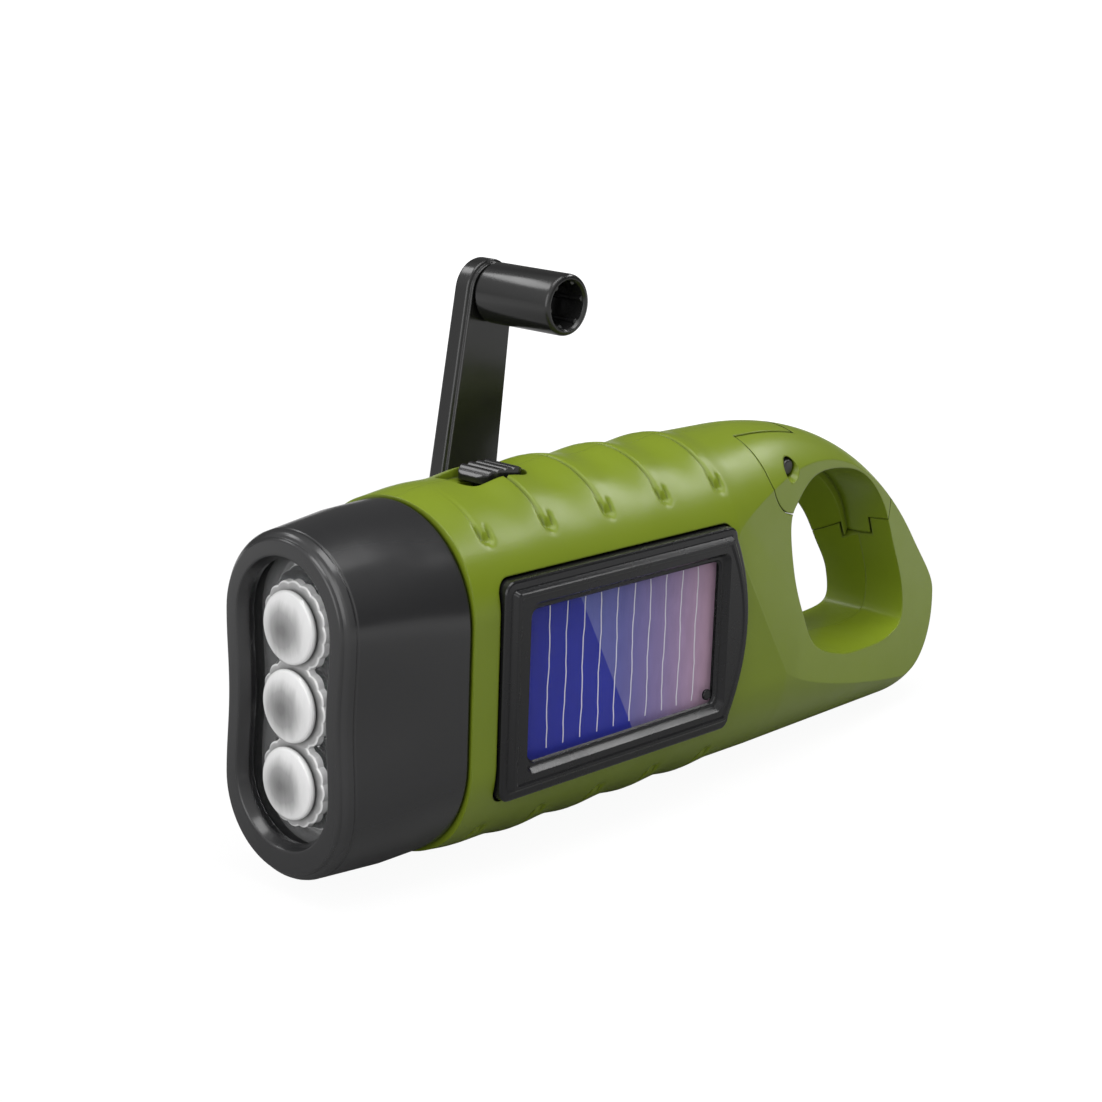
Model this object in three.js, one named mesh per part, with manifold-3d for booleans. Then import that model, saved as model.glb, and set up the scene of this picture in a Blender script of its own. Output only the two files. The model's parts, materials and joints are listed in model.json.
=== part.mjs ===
// A hand crank flashlight with a solar panel and a carabiner tail, in millimetres.
// X runs from the lamp face to the tail, the panel looks along -Y, the crank sits on +Y, Z is up.
// Sizes are written once below. The finished group is moved so that its lowest point is at z = 0.
import * as THREE from "three";
import { mergeVertices } from "three/addons/utils/BufferGeometryUtils.js";
import Module from "manifold-3d";

const wasm = await Module();
wasm.setup();

// Shared fits
const fitGap = 0.3; // between pieces that seat on each other
const runGap = 0.35; // between pieces that turn or slide on each other
const overrun = 2; // how far a cut runs past the surface it opens
const weldDistance = 0.0001; // points closer than this are one point

// Green body, seen from the side
const bodyStart = 17.8; // front end of the green shells
const tailStart = 80; // where the straight top line ends
const bodyEnd = 130.6;
const tailLength = bodyEnd - tailStart;
const bodyTop = 23.5;
const bodyBottom = -23.3;
const bodyHalfWidth = 14.2;
const wall = 1.9;
const cavityEnd = 71; // the wall between the housing and the carabiner tail
const lipLength = 2.6; // the shells reach this far into the head
const lipWall = 1.2;
const shoulderReachShare = 0.393; // pull of the top line at its start, as a share of the tail
const shoulderShare = 0.679; // pull of the falling line
const shoulderZ = 13.9;
const hipShare = 0.866; // where the falling line turns into the nose
const hipZ = 1.9;
const hipPullShare = 0.9375;
const hipPullZ = -2.6;
const nosePullZ = -5.4;
const tailPlace = (share) => tailStart + share * tailLength;
const noseZ = -8.3;
const noseRadius = 15;

// The flat slanted side of the tail
const facetX = 74;
const facetZ = 0;
const facetTurn = 32; // degrees, from X towards Z, the way the tail gets thinner
const facetSlope = 0.227;
const edgeCreaseShare = 0.35; // how much fuller than tangent the round edge stays
const noseLimitShare = 0.95;

// Grip ribs across the top and the bottom
const ribCount = 5;
const ribFirst = 22.3;
const ribPitch = 10.95;
const ribHeight = 0.6;
const firstRibShare = 0.5; // the rib next to the head is lower
const frontFall = 0.9; // how much lower the body is where it meets the head
const frontFallLength = 16;
const ribSpread = 60; // degrees from the top where a rib has faded out
const creaseWidth = 0.6;
const creaseBite = 0.12; // groove floor below the plain surface
const creaseSpread = 51; // degrees from the top where a groove ends
const dimpleRadius = 1.1;

// Carabiner opening, its gate and its pin
const holeFront = tailPlace(0.065);
const holeRear = tailPlace(0.761);
const holeTop = 16.5;
const holeBottom = -11.9;
const holeDraft = 0.5;
const holeFarY = 0.5 * bodyHalfWidth; // from here outwards the crank side has its own outline
const holeShares = [
  [0, 0.82], [0.006, 0.556], [0.068, 0.34], [0.147, 0.176], [0.374, 0.056],
  [0.612, 0.014], [0.84, 0.007], [0.97, 0.06], [0.99, 0.22], [0.92, 0.47],
  [0.83, 0.72], [0.666, 0.898], [0.43, 0.982], [0.2, 0.985], [0.06, 0.895],
];
const holeFarShares = [
  [0, 0.82], [0.006, 0.556], [0.068, 0.34], [0.147, 0.176], [0.374, 0.056],
  [0.612, 0.014], [0.847, 0.014], [0.96, 0.07], [0.935, 0.243], [0.84, 0.43],
  [0.725, 0.627], [0.56, 0.81], [0.38, 0.91], [0.2, 0.94], [0.06, 0.88],
];
const gatePinX = tailPlace(0.082);
const gatePinZ = 18.4;
const gatePinRadius = 1.1;
const gatePinSink = 4.8; // its ends inside the body's widest side
const gatePinHalfLength = bodyHalfWidth - gatePinSink;
const gateEyeRadius = 6.3;
const gateLap = 1.7; // the gate ends this much before the rear of the opening
const gateReach = holeRear - gatePinX - gateLap; // from the pin to the end of the gate
const gateTongueRadius = 7.5;
const gateTongueHalfWidth = 0.282 * bodyHalfWidth;
const latchHalfWidth = 2.2;
const latchLength = 1.8;
const latchTurn = 17; // degrees below level, seen from the pin, where the latch nose ends
const gateSeatTurn = 300; // degrees round the pin where its round seat comes out into the opening
const gateEndTurn = 35; // degrees below level where the end seam comes out into the opening
const springWire = 0.7;
const springRadius = 1.95;
const springTurns = 3.25;
const springPitch = 0.85;
const springPocketRadius = 2.65;
const tailCavityStart = tailPlace(0.125);

// Head hood and lamp
const faceHalfWidth = 11;
const faceHalfHeight = 21.4;
const faceDrop = 0.5; // the face's middle below the body's
const faceWaist = 0.5;
const faceRounding = 1.2;
const faceRoundingShares = [
  [0, 1],
  [0.07, 0.62],
  [0.38, 0.2],
  [1, 0],
];
const hoodBreakX = 10.5; // the taper gets shallower here
const hoodBreakHalfWidth = 12.7;
const hoodBreakHalfHeight = 22.1;
const hoodRearStep = 0.2; // the hood ends this much inside the green surface
const hoodWall = 1.5;
const mouthHalfWidth = 7.5;
const mouthHalfHeight = 17.4;
const mouthFlare = 0.6;
const mouthDepth = 2.4;
const windowThickness = 1.2;
const windowLap = 0.9; // how far the window reaches behind the rim
const reflectorDepth = 8;
const reflectorRim = 0.8;
const lampPitch = 9.7;
const cupMouthRadius = 6.4;
const cupFloorRadius = 4.6;
const lampRadius = 4.1;
const lampFlangeRadius = 4.5;
const lampFlangeThickness = 1;
const lampStem = 2.6;
const ledBoardThickness = 1.3;

// Solar panel frame
const frameFront = 24.5;
const frameRear = 66.6;
const frameBow = 3.2;
const frameHalfHeight = 14;
const frameCorner = 2;
const frameSink = 2.3; // its back inside the body's side
const frameBack = bodyHalfWidth - frameSink; // distance from the middle plane
const frameStand = 0.6;
const frameShoulder = bodyHalfWidth + frameStand;
const frameRimStand = 1.4;
const frameRim = bodyHalfWidth + frameRimStand;
const frameStep = 1.5; // width of the lower step round the rim
const frameRimWidth = 1.2;
const frameEase = 0.4;
const cellFront = 28.5;
const cellRear = 63;
const cellHalfHeight = 9.4;
const cellLap = 1.1; // hidden behind the frame's lip
const cellFlare = 1.5;
const coverSink = 0.2;
const coverFace = bodyHalfWidth - coverSink;
const coverThickness = 0.7;
const cellThickness = 0.6;
const pocketFloor = frameBack - fitGap;
const pocketPadThickness = 1.4;
const pocketPadMargin = 1.6;
const pocketWindowHalfHeight = 6.5;

// Slide switch on the top
const switchFront = 26.9;
const switchPocketLength = 11.6;
const switchPocketHalfWidth = 3.5;
const switchPocketDepth = 1.2;
const switchCorner = 1.3;
const switchLength = 7.6;
const switchHalfWidth = 2.7;
const switchRise = 1.5; // thumb piece above the body
const switchTravel = 3;
const switchStemHalfWidth = 1.1;
const switchStemLength = 3;
const switchBodyHalfWidth = 2.8;
const switchBodyHeight = 5;
const thumbRidgeCount = 4;
const thumbRidge = 0.45;

// Gear train and generator, all axles run along Y
const crankX = 59;
const crankZ = 0;
const wheelRadius = 10.5; // pitch circle
const wheelTeeth = 28;
const gearModule = (2 * wheelRadius) / wheelTeeth;
const pinionTeeth = 10;
const pressureAngle = 22; // degrees
const addendumShare = 0.85;
const dedendumShare = 1.15;
const toothBacklash = 0.22;
const gearWidth = 0.141 * bodyHalfWidth;
const gearSpace = 0.049 * bodyHalfWidth; // between one gear level and the next
const lowGearY = 0.2465 * bodyHalfWidth;
const firstTurn = 156; // degrees, from the crank axle to the first idler
const secondTurn = 207.5; // from the first idler to the second
const rotorTurn = 288.5; // from the second idler to the rotor
const idlerAxleRadius = 1;
const rotorShaftRadius = 0.8;
const magnetRadius = 4.8;
const magnetLength = 0.31 * bodyHalfWidth;
const plateThickness = 0.0986 * bodyHalfWidth;
const plateY = 0.12 * bodyHalfWidth;
const plateArm = 2.9;
const postRadius = 2.2;
const postFrontX = 28.5;
const postFrontZ = 12.4;
const postRearX = 51;
const postRearZ = -13;
const postLowX = 28.8;
const postLowZ = -15.8;
const plateScrewHeadRadius = 2;
const plateScrewHead = 1;
const plateScrewRadius = 0.7;
const plateScrewDepth = 5;
const corePoleGap = 0.4;
const coreThickness = 0.197 * bodyHalfWidth;
const coreLeg = 1;
const coreReach = 25; // from the rotor axle to the far side of the core
const coilYoke = 4;
const coilBuild = 2.6;
const coilEndGap = 1.2;

// Circuit board and cells
const boardFront = 22;
const boardLength = 47;
const boardHalfHeight = 12;
const boardThickness = 1.2;
const batteryRadius = 5.6;
const batteryLength = 16;
const batteryZ = 11.6;
const batteryEndGap = 0.6;
const cellSeam = 0.35;
const cellCount = 3;

// Gearbox dome, crank and knob
const domeRadius = 16.8;
const domeTopRadius = 12.6;
const domeRise = 5.4; // above the body's side
const domeTop = bodyHalfWidth + domeRise;
const domeEdge = 1.2;
const domeSink = 6.2;
const domeRoot = bodyHalfWidth - domeSink;
const domeWall = 2;
const spindleRadius = 2.4;
const bearingWall = 2.2;
const hubRadius = 12;
const hubDiscThickness = 2.8;
const hubFloor = 1.4;
const hubEdge = 0.8;
const foldRise = 8; // above the hub's disc
const foldAxisY = domeTop + runGap + hubDiscThickness + foldRise;
const earThickness = 2.2;
const earRadius = 3.6;
const earTurn = 75; // degrees of the ear's round end to each side
const earRootHalfWidth = 5.4;
const foldPinRadius = 1.2;
const foldBarrelRadius = 3;
const crankLean = 7.3; // degrees from upright, towards the tail
const crankRadius = 40;
const armThickness = 3.1;
const armRootWidth = 11.9;
const armTipRadius = 4.6;
const armRimWidth = 1.1;
const armPanelDepth = 0.5;
const knobRadius = 4.3;
const knobLength = 14.1;
const knobWeb = 6.4;
const knobBore = 3.25;
const knobLipBore = 2.95;
const knobLip = 0.7;
const knobEdge = 0.5;
const knobAxleRadius = 1.5;
const knobHeadRadius = 2.9;
const knobHeadThickness = 0.9;
const clipThickness = 0.9;
const clipRadius = 2.7;
const hubScrewHeadRadius = 2.3;
const hubScrewHead = 1.5;
const hubScrewRadius = 0.8;
const hubScrewDepth = 5;

// Screws that hold the shells together, from the crank side: x, z, seat and tip of each
const screwRadius = 0.9;
const screwHeadRadius = 2;
const screwHeadThickness = 1.3;
const screwBossRadius = 2.6;
const frontScrewX = 22.9;
const frontScrewTopZ = 16;
const frontScrewBottomZ = -17;
const deepSink = 5.7; // screw seats inside the body's widest side
const middleScrewX = 76.5;
const middleScrewZ = -14;
const rearScrewX = tailPlace(0.825);
const rearScrewZ = -15;
const deepSeat = bodyHalfWidth - deepSink;
const deepTip = 4.5;
const rearSeat = 0.183 * bodyHalfWidth;
const rearTip = 0.197 * bodyHalfWidth;

// Numbers of facets
const largeSteps = 24;
const roundSteps = 18;
const arcSteps = 9;
const smallSteps = 8;
const hexSteps = 6;
const edgeSteps = 6;
const ribSteps = 4;
const holeSteps = 36;
const cornerSteps = 3;
const bowlSteps = 4;
const domeSteps = 4;

const radians = THREE.MathUtils.degToRad;

// Solids: every closed geometry becomes one, so that it can be joined and cut

function signedVolume(points, faces) {
  let total = 0;
  const [a, b, c] = [new THREE.Vector3(), new THREE.Vector3(), new THREE.Vector3()];
  for (let i = 0; i < faces.length; i += 3) {
    a.fromArray(points, 3 * faces[i]);
    b.fromArray(points, 3 * faces[i + 1]);
    c.fromArray(points, 3 * faces[i + 2]);
    total += a.dot(b.cross(c)) / 6;
  }
  return total;
}

function solid(geometry) {
  const plain = new THREE.BufferGeometry();
  plain.setAttribute("position", geometry.getAttribute("position").clone());
  if (geometry.index) plain.setIndex(geometry.index.clone());
  const merged = mergeVertices(plain, weldDistance);
  const points = merged.getAttribute("position").array;
  const corners = merged.index.array;
  const faces = [];
  for (let i = 0; i < corners.length; i += 3) {
    const [a, b, c] = [corners[i], corners[i + 1], corners[i + 2]];
    if (a !== b && b !== c && c !== a) faces.push(a, b, c);
  }
  if (signedVolume(points, faces) < 0) faces.reverse();
  const mesh = new wasm.Mesh({
    numProp: 3,
    vertProperties: points,
    triVerts: new Uint32Array(faces),
  });
  return new wasm.Manifold(mesh);
}

function geometryOf(body) {
  const { numProp, vertProperties, triVerts } = body.getMesh();
  const points = new Float32Array((vertProperties.length / numProp) * 3);
  for (let i = 0; i < points.length / 3; i++) {
    points.set(vertProperties.subarray(i * numProp, i * numProp + 3), 3 * i);
  }
  const geometry = new THREE.BufferGeometry();
  geometry.setAttribute("position", new THREE.BufferAttribute(points, 3));
  geometry.setIndex(new THREE.BufferAttribute(new Uint32Array(triVerts), 1));
  return geometry;
}

const join = (...bodies) => bodies.reduce((all, next) => all.add(next));
const cut = (body, ...tools) => tools.reduce((left, tool) => left.subtract(tool), body);
const common = (a, b) => a.intersect(b);
const moved = (body, matrix) => solid(geometryOf(body).applyMatrix4(matrix));
const mirroredY = (body) => moved(body, new THREE.Matrix4().makeScale(1, -1, 1));
const shifted = (body, x, y, z) => moved(body, new THREE.Matrix4().makeTranslation(x, y, z));

// A flat outline pushed from one height of an axis to another
function slab(shape, low, high, axis, steps = smallSteps) {
  const settings = { depth: high - low, bevelEnabled: false, curveSegments: steps };
  const geometry = new THREE.ExtrudeGeometry(shape, settings);
  if (axis === "y") geometry.rotateX(Math.PI / 2).translate(0, high, 0);
  if (axis === "z") geometry.translate(0, 0, low);
  if (axis === "x") {
    const turn = new THREE.Matrix4().makeBasis(
      new THREE.Vector3(0, 1, 0),
      new THREE.Vector3(0, 0, 1),
      new THREE.Vector3(1, 0, 0),
    );
    geometry.applyMatrix4(turn).translate(low, 0, 0);
  }
  return solid(geometry);
}

const polygon = (points) => new THREE.Shape(points.map(([u, v]) => new THREE.Vector2(u, v)));

function disc(radius, u = 0, v = 0) {
  return new THREE.Shape().absarc(u, v, radius, 0, 2 * Math.PI);
}

function block(x0, x1, y0, y1, z0, z1) {
  const geometry = new THREE.BoxGeometry(x1 - x0, y1 - y0, z1 - z0);
  return solid(geometry.translate((x0 + x1) / 2, (y0 + y1) / 2, (z0 + z1) / 2));
}

// A round bar along Y at (x, z)
function bar(radius, y0, y1, x, z, steps = roundSteps) {
  const geometry = new THREE.CylinderGeometry(radius, radius, y1 - y0, steps);
  return solid(geometry.translate(x, (y0 + y1) / 2, z));
}

// A round bar along X at (y, z)
function barX(radius, x0, x1, y, z, steps = roundSteps) {
  const geometry = new THREE.CylinderGeometry(radius, radius, x1 - x0, steps);
  return solid(geometry.rotateZ(-Math.PI / 2).translate((x0 + x1) / 2, y, z));
}

// A turned piece whose axis runs along Y through (x, z), from a list of radius and height
function turned(profile, x, z, steps = roundSteps) {
  const points = profile.map(([radius, y]) => new THREE.Vector2(radius, y));
  return solid(new THREE.LatheGeometry(points, steps).translate(x, 0, z));
}

// Closed rings of the same number of points, skinned in order and closed at both ends
function loft(rings) {
  const count = rings[0].length;
  const middle = (ring) => [0, 1, 2].map((k) => ring.reduce((sum, p) => sum + p[k], 0) / count);
  const points = [...rings.flat(), middle(rings[0]), middle(rings[rings.length - 1])];
  const first = rings.length * count;
  const last = (rings.length - 1) * count;
  const faces = [];
  for (let i = 0; i < count; i++) {
    const j = (i + 1) % count;
    for (let ring = 0; ring < last; ring += count) {
      faces.push(ring + i, ring + j, ring + count + j);
      faces.push(ring + i, ring + count + j, ring + count + i);
    }
    faces.push(first, j, i, first + 1, last + i, last + j);
  }
  const geometry = new THREE.BufferGeometry();
  geometry.setAttribute("position", new THREE.Float32BufferAttribute(points.flat(), 3));
  geometry.setIndex(faces);
  return solid(geometry);
}

// The body's form

const facetAlong = (x, z) =>
  (x - facetX) * Math.cos(radians(facetTurn)) + (z - facetZ) * Math.sin(radians(facetTurn));

// Half thickness at the edge of the tail, where the round edge runs into the flat side
function edgeRadius(x, z, nx, nz) {
  const towards = nx * Math.cos(radians(facetTurn)) + nz * Math.sin(radians(facetTurn));
  const flat = (bodyHalfWidth - facetSlope * facetAlong(x, z)) / (1 + facetSlope * towards);
  const flush = Math.min(bodyHalfWidth, flat);
  return flush + edgeCreaseShare * (bodyHalfWidth - flush);
}

// How far the top and the bottom stand above the plain section: ribs, and a fall towards the head
function ribWave(x) {
  const turns = (x - ribFirst) / ribPitch;
  const inside = turns >= -0.5 && turns <= ribCount - 0.5;
  const height = turns < 0.5 ? ribHeight * firstRibShare : ribHeight;
  const rib = inside ? (height * (1 + Math.cos(2 * Math.PI * turns))) / 2 : 0;
  return rib - frontFall * Math.max(0, 1 - (x - bodyStart) / frontFallLength) ** 2;
}

// Places along the body where the ribs need a section; a groove's floor is marked
function ribPlaces() {
  const places = [];
  for (let i = 0; i < ribCount; i++) {
    const peak = ribFirst + i * ribPitch;
    for (let step = 0; step < ribSteps; step++) {
      const x = peak + (step / ribSteps - 0.5) * ribPitch;
      if (step !== ribSteps / 2) places.push([x, false]);
      else places.push([peak - creaseWidth / 2, false], [peak, true], [peak + creaseWidth / 2, false]);
    }
  }
  places.push([ribFirst + (ribCount - 0.5) * ribPitch, false]);
  return places;
}

// Points round the side view, from the front top past the nose to the front bottom
function sideStations() {
  const stations = [];
  const add = (x, z, nx, nz, limit, crease = false) => {
    const radius = Math.min(edgeRadius(x, z, nx, nz), limit);
    stations.push({ x, z, nx, nz, radius, wave: ribWave(x), crease });
  };
  const curve = (bezier, steps, limit) => {
    for (let i = 1; i <= steps; i++) {
      const at = bezier.getPoint(i / steps);
      const along = bezier.getTangent(i / steps);
      add(at.x, at.y, along.y, -along.x, limit);
    }
  };
  const v = (x, z) => new THREE.Vector2(x, z);
  const ribs = ribPlaces().filter(([x]) => x > bodyStart);
  add(bodyStart, bodyTop, 0, -1, bodyHalfWidth);
  ribs.forEach(([x, crease]) => add(x, bodyTop, 0, -1, bodyHalfWidth, crease));
  add(tailStart, bodyTop, 0, -1, bodyHalfWidth);
  curve(
    new THREE.CubicBezierCurve(
      v(tailStart, bodyTop),
      v(tailPlace(shoulderReachShare), bodyTop),
      v(tailPlace(shoulderShare), shoulderZ),
      v(tailPlace(hipShare), hipZ),
    ),
    2 * edgeSteps,
    bodyHalfWidth,
  );
  const noseLimit = noseRadius * noseLimitShare;
  curve(
    new THREE.CubicBezierCurve(
      v(tailPlace(hipShare), hipZ),
      v(tailPlace(hipPullShare), hipPullZ),
      v(bodyEnd, nosePullZ),
      v(bodyEnd, noseZ),
    ),
    edgeSteps,
    noseLimit,
  );
  const noseX = bodyEnd - noseRadius;
  const noseBottom = noseZ - noseRadius;
  for (let i = 1; i <= edgeSteps; i++) {
    const turn = (i / edgeSteps) * (Math.PI / 2);
    const [nx, nz] = [-Math.cos(turn), Math.sin(turn)];
    add(noseX - noseRadius * nx, noseZ - noseRadius * nz, nx, nz, noseLimit);
  }
  const slope = (noseBottom - bodyBottom) / (noseX - tailStart);
  const fall = (x) => bodyBottom + slope * (x - tailStart);
  for (let i = edgeSteps - 1; i >= 0; i--) {
    const share = i / edgeSteps;
    const x = tailStart + (noseX - tailStart) * share;
    add(x, fall(x), 0, 1, share > 0.5 ? noseLimit * (2 - share) : bodyHalfWidth);
  }
  [...ribs].reverse().forEach(([x, crease]) => add(x, bodyBottom, 0, 1, bodyHalfWidth, crease));
  add(bodyStart, bodyBottom, 0, 1, bodyHalfWidth);
  return stations;
}

// One half of the form, from the middle plane to +Y, drawn in by an inset all round
function pillow(inset, ribbed) {
  const stations = sideStations();
  const rings = [];
  for (let i = 0; i <= edgeSteps; i++) {
    const turn = (i / edgeSteps) * (Math.PI / 2);
    const fade = Math.max(0, 1 - (turn / radians(ribSpread)) ** 2) ** 2;
    rings.push(
      stations.map((s) => {
        const sunk = s.crease && turn < radians(creaseSpread);
        const swell = sunk ? -creaseBite : s.wave * fade;
        const raised = s.radius - inset + (ribbed ? swell : 0);
        const depth = s.radius - raised * Math.cos(turn);
        return [s.x + s.nx * depth, raised * Math.sin(turn), s.z + s.nz * depth];
      }),
    );
  }
  rings.push(rings[edgeSteps].map(([x, , z]) => [x, bodyHalfWidth + overrun, z]));
  return common(loft(rings), facetWedge(inset));
}

// Everything between the middle plane and the flat sides of the body and the tail
function facetWedge(inset) {
  const far = bodyEnd;
  const side = bodyHalfWidth - inset;
  const shape = polygon([
    [-far, -far],
    [far, -far],
    [far, side - facetSlope * far],
    [0, side],
    [-far, side],
  ]);
  const turn = radians(facetTurn);
  const geometry = new THREE.ExtrudeGeometry(shape, { depth: 2 * far, bevelEnabled: false });
  geometry.translate(0, 0, -far).applyMatrix4(
    new THREE.Matrix4().makeBasis(
      new THREE.Vector3(Math.cos(turn), 0, Math.sin(turn)),
      new THREE.Vector3(0, 1, 0),
      new THREE.Vector3(-Math.sin(turn), 0, Math.cos(turn)),
    ),
  );
  return solid(geometry.translate(facetX, 0, facetZ));
}

// Rounded bars across the section of the body: a stadium with a given half width, top and bottom
function stadiumRing(x, halfWidth, top, bottom, waist = 0, sideSteps = edgeSteps) {
  const ring = [];
  const [high, low] = [top - halfWidth, bottom + halfWidth];
  for (let i = 0; i <= arcSteps; i++) {
    const turn = (i / arcSteps) * Math.PI;
    ring.push([x, halfWidth * Math.cos(turn), high + halfWidth * Math.sin(turn)]);
  }
  for (let i = 1; i < sideSteps; i++) {
    const dip = (waist * (1 - Math.cos((2 * Math.PI * i) / sideSteps))) / 2;
    ring.push([x, dip - halfWidth, high + ((low - high) * i) / sideSteps]);
  }
  for (let i = 0; i <= arcSteps; i++) {
    const turn = Math.PI + (i / arcSteps) * Math.PI;
    ring.push([x, halfWidth * Math.cos(turn), low + halfWidth * Math.sin(turn)]);
  }
  for (let i = 1; i < sideSteps; i++) {
    const dip = (waist * (1 - Math.cos((2 * Math.PI * i) / sideSteps))) / 2;
    ring.push([x, halfWidth - dip, low + ((high - low) * i) / sideSteps]);
  }
  return ring;
}

// The body's plain section between two places, drawn in by an inset
function sectionBar(from, to, inset) {
  const ring = (x) =>
    stadiumRing(x, bodyHalfWidth - inset, bodyTop - inset, bodyBottom + inset, 0, 1);
  return loft([ring(from), ring(to)]);
}

const surfaceY = (z) => {
  const high = bodyTop - bodyHalfWidth;
  const low = bodyBottom + bodyHalfWidth;
  const past = Math.max(z - high, low - z, 0);
  return Math.sqrt(Math.max(0, bodyHalfWidth ** 2 - past ** 2));
};

// The carabiner opening: a closed curve through hand-placed shares of its box

function holeRing(y, grow, outline = holeShares) {
  const places = outline.map(
    ([u, v]) =>
      new THREE.Vector3(
        holeFront + u * (holeRear - holeFront),
        holeBottom + v * (holeTop - holeBottom),
        0,
      ),
  );
  const curve = new THREE.CatmullRomCurve3(places, true, "centripetal");
  return Array.from({ length: holeSteps }, (_, i) => {
    const at = curve.getPoint(i / holeSteps);
    const along = curve.getTangent(i / holeSteps);
    return [at.x + along.y * grow, y, at.y - along.x * grow];
  });
}

// The opening widens a little from the middle plane outwards, as a moulded one does
function holeTool(grow, outline = holeShares) {
  const atMiddle = grow - holeDraft;
  const reach = bodyHalfWidth + overrun;
  return loft([
    holeRing(-overrun, atMiddle),
    holeRing(0, atMiddle),
    holeRing(holeFarY, grow, outline),
    holeRing(reach, grow + holeDraft, outline),
  ]);
}

// The space that the gate fills, seen from the side
function gateShape(grow, endGrow) {
  const shape = new THREE.Shape();
  const left = gatePinX - gateEyeRadius - grow;
  const reach = gateReach + endGrow;
  const high = bodyTop + 2 * overrun;
  shape.moveTo(left, high);
  shape.lineTo(left, gatePinZ);
  shape.absarc(gatePinX, gatePinZ, gateEyeRadius + grow, Math.PI, radians(gateSeatTurn), false);
  shape.absarc(gatePinX, gatePinZ, reach, radians(-gateEndTurn), 0, false);
  shape.lineTo(gatePinX + reach, high);
  return shape;
}

const bothSides = bodyHalfWidth + overrun;
const gateTool = (grow, endGrow) => slab(gateShape(grow, endGrow), -bothSides, bothSides, "y", roundSteps);

// The fixed tongue between the cheeks of the gate, round its pin
function tongueTool(grow, halfWidth) {
  const left = gatePinX - gateEyeRadius - 2 * fitGap;
  const round = slab(disc(gateTongueRadius + grow, gatePinX, gatePinZ), -halfWidth, halfWidth, "y");
  const high = bodyTop + overrun;
  const corner = block(left, gatePinX, -halfWidth, halfWidth, gatePinZ, high);
  return join(round, corner);
}

// The nose at the end of the gate that lies in a slot of the fixed ring
function latchTool(grow) {
  const shape = new THREE.Shape();
  const reach = gateReach + latchLength + grow;
  const start = radians(-gateEndTurn);
  const end = radians(-latchTurn) + grow / gateReach;
  shape.absarc(gatePinX, gatePinZ, reach, start, end, false);
  shape.absarc(gatePinX, gatePinZ, gateReach - latchLength, end, start, true);
  return slab(shape, -latchHalfWidth - grow, latchHalfWidth + grow, "y", smallSteps);
}

// Posts of the crank side shell that carry the gear plate
const postPlaces = [
  [postFrontX, postFrontZ],
  [postRearX, postRearZ],
  [postLowX, postLowZ],
];

// Screw places, shared by the shells and the screws
const screws = [
  { x: frontScrewX, z: frontScrewTopZ, seat: deepSeat, tip: -deepTip },
  { x: frontScrewX, z: frontScrewBottomZ, seat: deepSeat, tip: -deepTip },
  { x: middleScrewX, z: middleScrewZ, seat: deepSeat, tip: -deepTip },
  { x: rearScrewX, z: rearScrewZ, seat: rearSeat, tip: -rearTip },
];

// Small dimples where the grooves end on the shoulders
function dimples() {
  const turn = radians(creaseSpread);
  const y = bodyHalfWidth * Math.sin(turn);
  const drop = bodyHalfWidth * (1 - Math.cos(turn));
  const places = [];
  for (let i = 0; i < ribCount; i++) {
    const x = ribFirst + i * ribPitch + dimpleRadius / 2;
    places.push([x, bodyTop - drop], [x, bodyBottom + drop]);
  }
  return places.map(([x, z]) => {
    return solid(new THREE.IcosahedronGeometry(dimpleRadius).translate(x, y, z));
  });
}

// Shells

function tailCavity() {
  const room = block(tailCavityStart, bodyEnd, -overrun, bodyHalfWidth, bodyBottom, bodyTop);
  const hollow = common(pillow(wall, false), room);
  return cut(hollow, holeTool(wall), gateTool(wall + runGap, latchLength + wall + runGap));
}

// A thin lip that reaches into the head, on a collar inside the shell's front end
function frontLip() {
  const [front, rear] = [bodyStart - lipLength, bodyStart + lipLength];
  const outside = hoodWall + fitGap;
  const inside = outside + lipWall;
  const lip = loft([hoodRing(front, outside), hoodRing(rear, outside)]);
  const collar = sectionBar(bodyStart, rear, wall / 2);
  const hollow = loft([hoodRing(front - overrun, inside), hoodRing(rear + overrun, inside)]);
  const half = block(front, rear, 0, bothSides, bodyBottom, bodyTop);
  return common(cut(join(lip, collar), hollow), half);
}

// What both shells have, made on the +Y side
function plainHalf(opening) {
  const outer = cut(pillow(0, true), ...dimples());
  const main = sectionBar(bodyStart - overrun, cavityEnd, wall);
  const bosses = screws.map(({ x, z }) => bar(screwBossRadius, -overrun, bodyHalfWidth, x, z));
  const hollow = cut(join(main, tailCavity()), ...bosses);
  const ring = cut(outer, hollow, gateTool(0, 0), latchTool(runGap));
  const tongue = common(outer, tongueTool(0, gateTongueHalfWidth));
  const pinBore = bar(gatePinRadius + fitGap, -overrun, bothSides, gatePinX, gatePinZ, smallSteps);
  return cut(join(ring, tongue, frontLip()), holeTool(0, opening), pinBore, switchCut());
}

// The pocket for the slider and the slot under it, open through the top wall
function switchCut() {
  const floor = bodyTop - switchPocketDepth;
  const [left, right] = [switchFront + switchCorner, switchFront + switchPocketLength - switchCorner];
  const side = switchPocketHalfWidth - switchCorner;
  const pocket = new THREE.Shape();
  pocket.absarc(right, side, switchCorner, 0, Math.PI / 2, false);
  pocket.absarc(left, side, switchCorner, Math.PI / 2, Math.PI, false);
  pocket.absarc(left, -side, switchCorner, Math.PI, 1.5 * Math.PI, false);
  pocket.absarc(right, -side, switchCorner, 1.5 * Math.PI, 2 * Math.PI, false);
  const slotStart = stemStart() - switchTravel - runGap;
  const slotEnd = stemStart() + switchStemLength + runGap;
  const slotHalf = switchStemHalfWidth + runGap;
  return join(
    slab(pocket, floor, bodyTop + 2 * overrun, "z", cornerSteps),
    block(slotStart, slotEnd, -slotHalf, slotHalf, floor - 2 * wall, bodyTop),
  );
}

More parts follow.
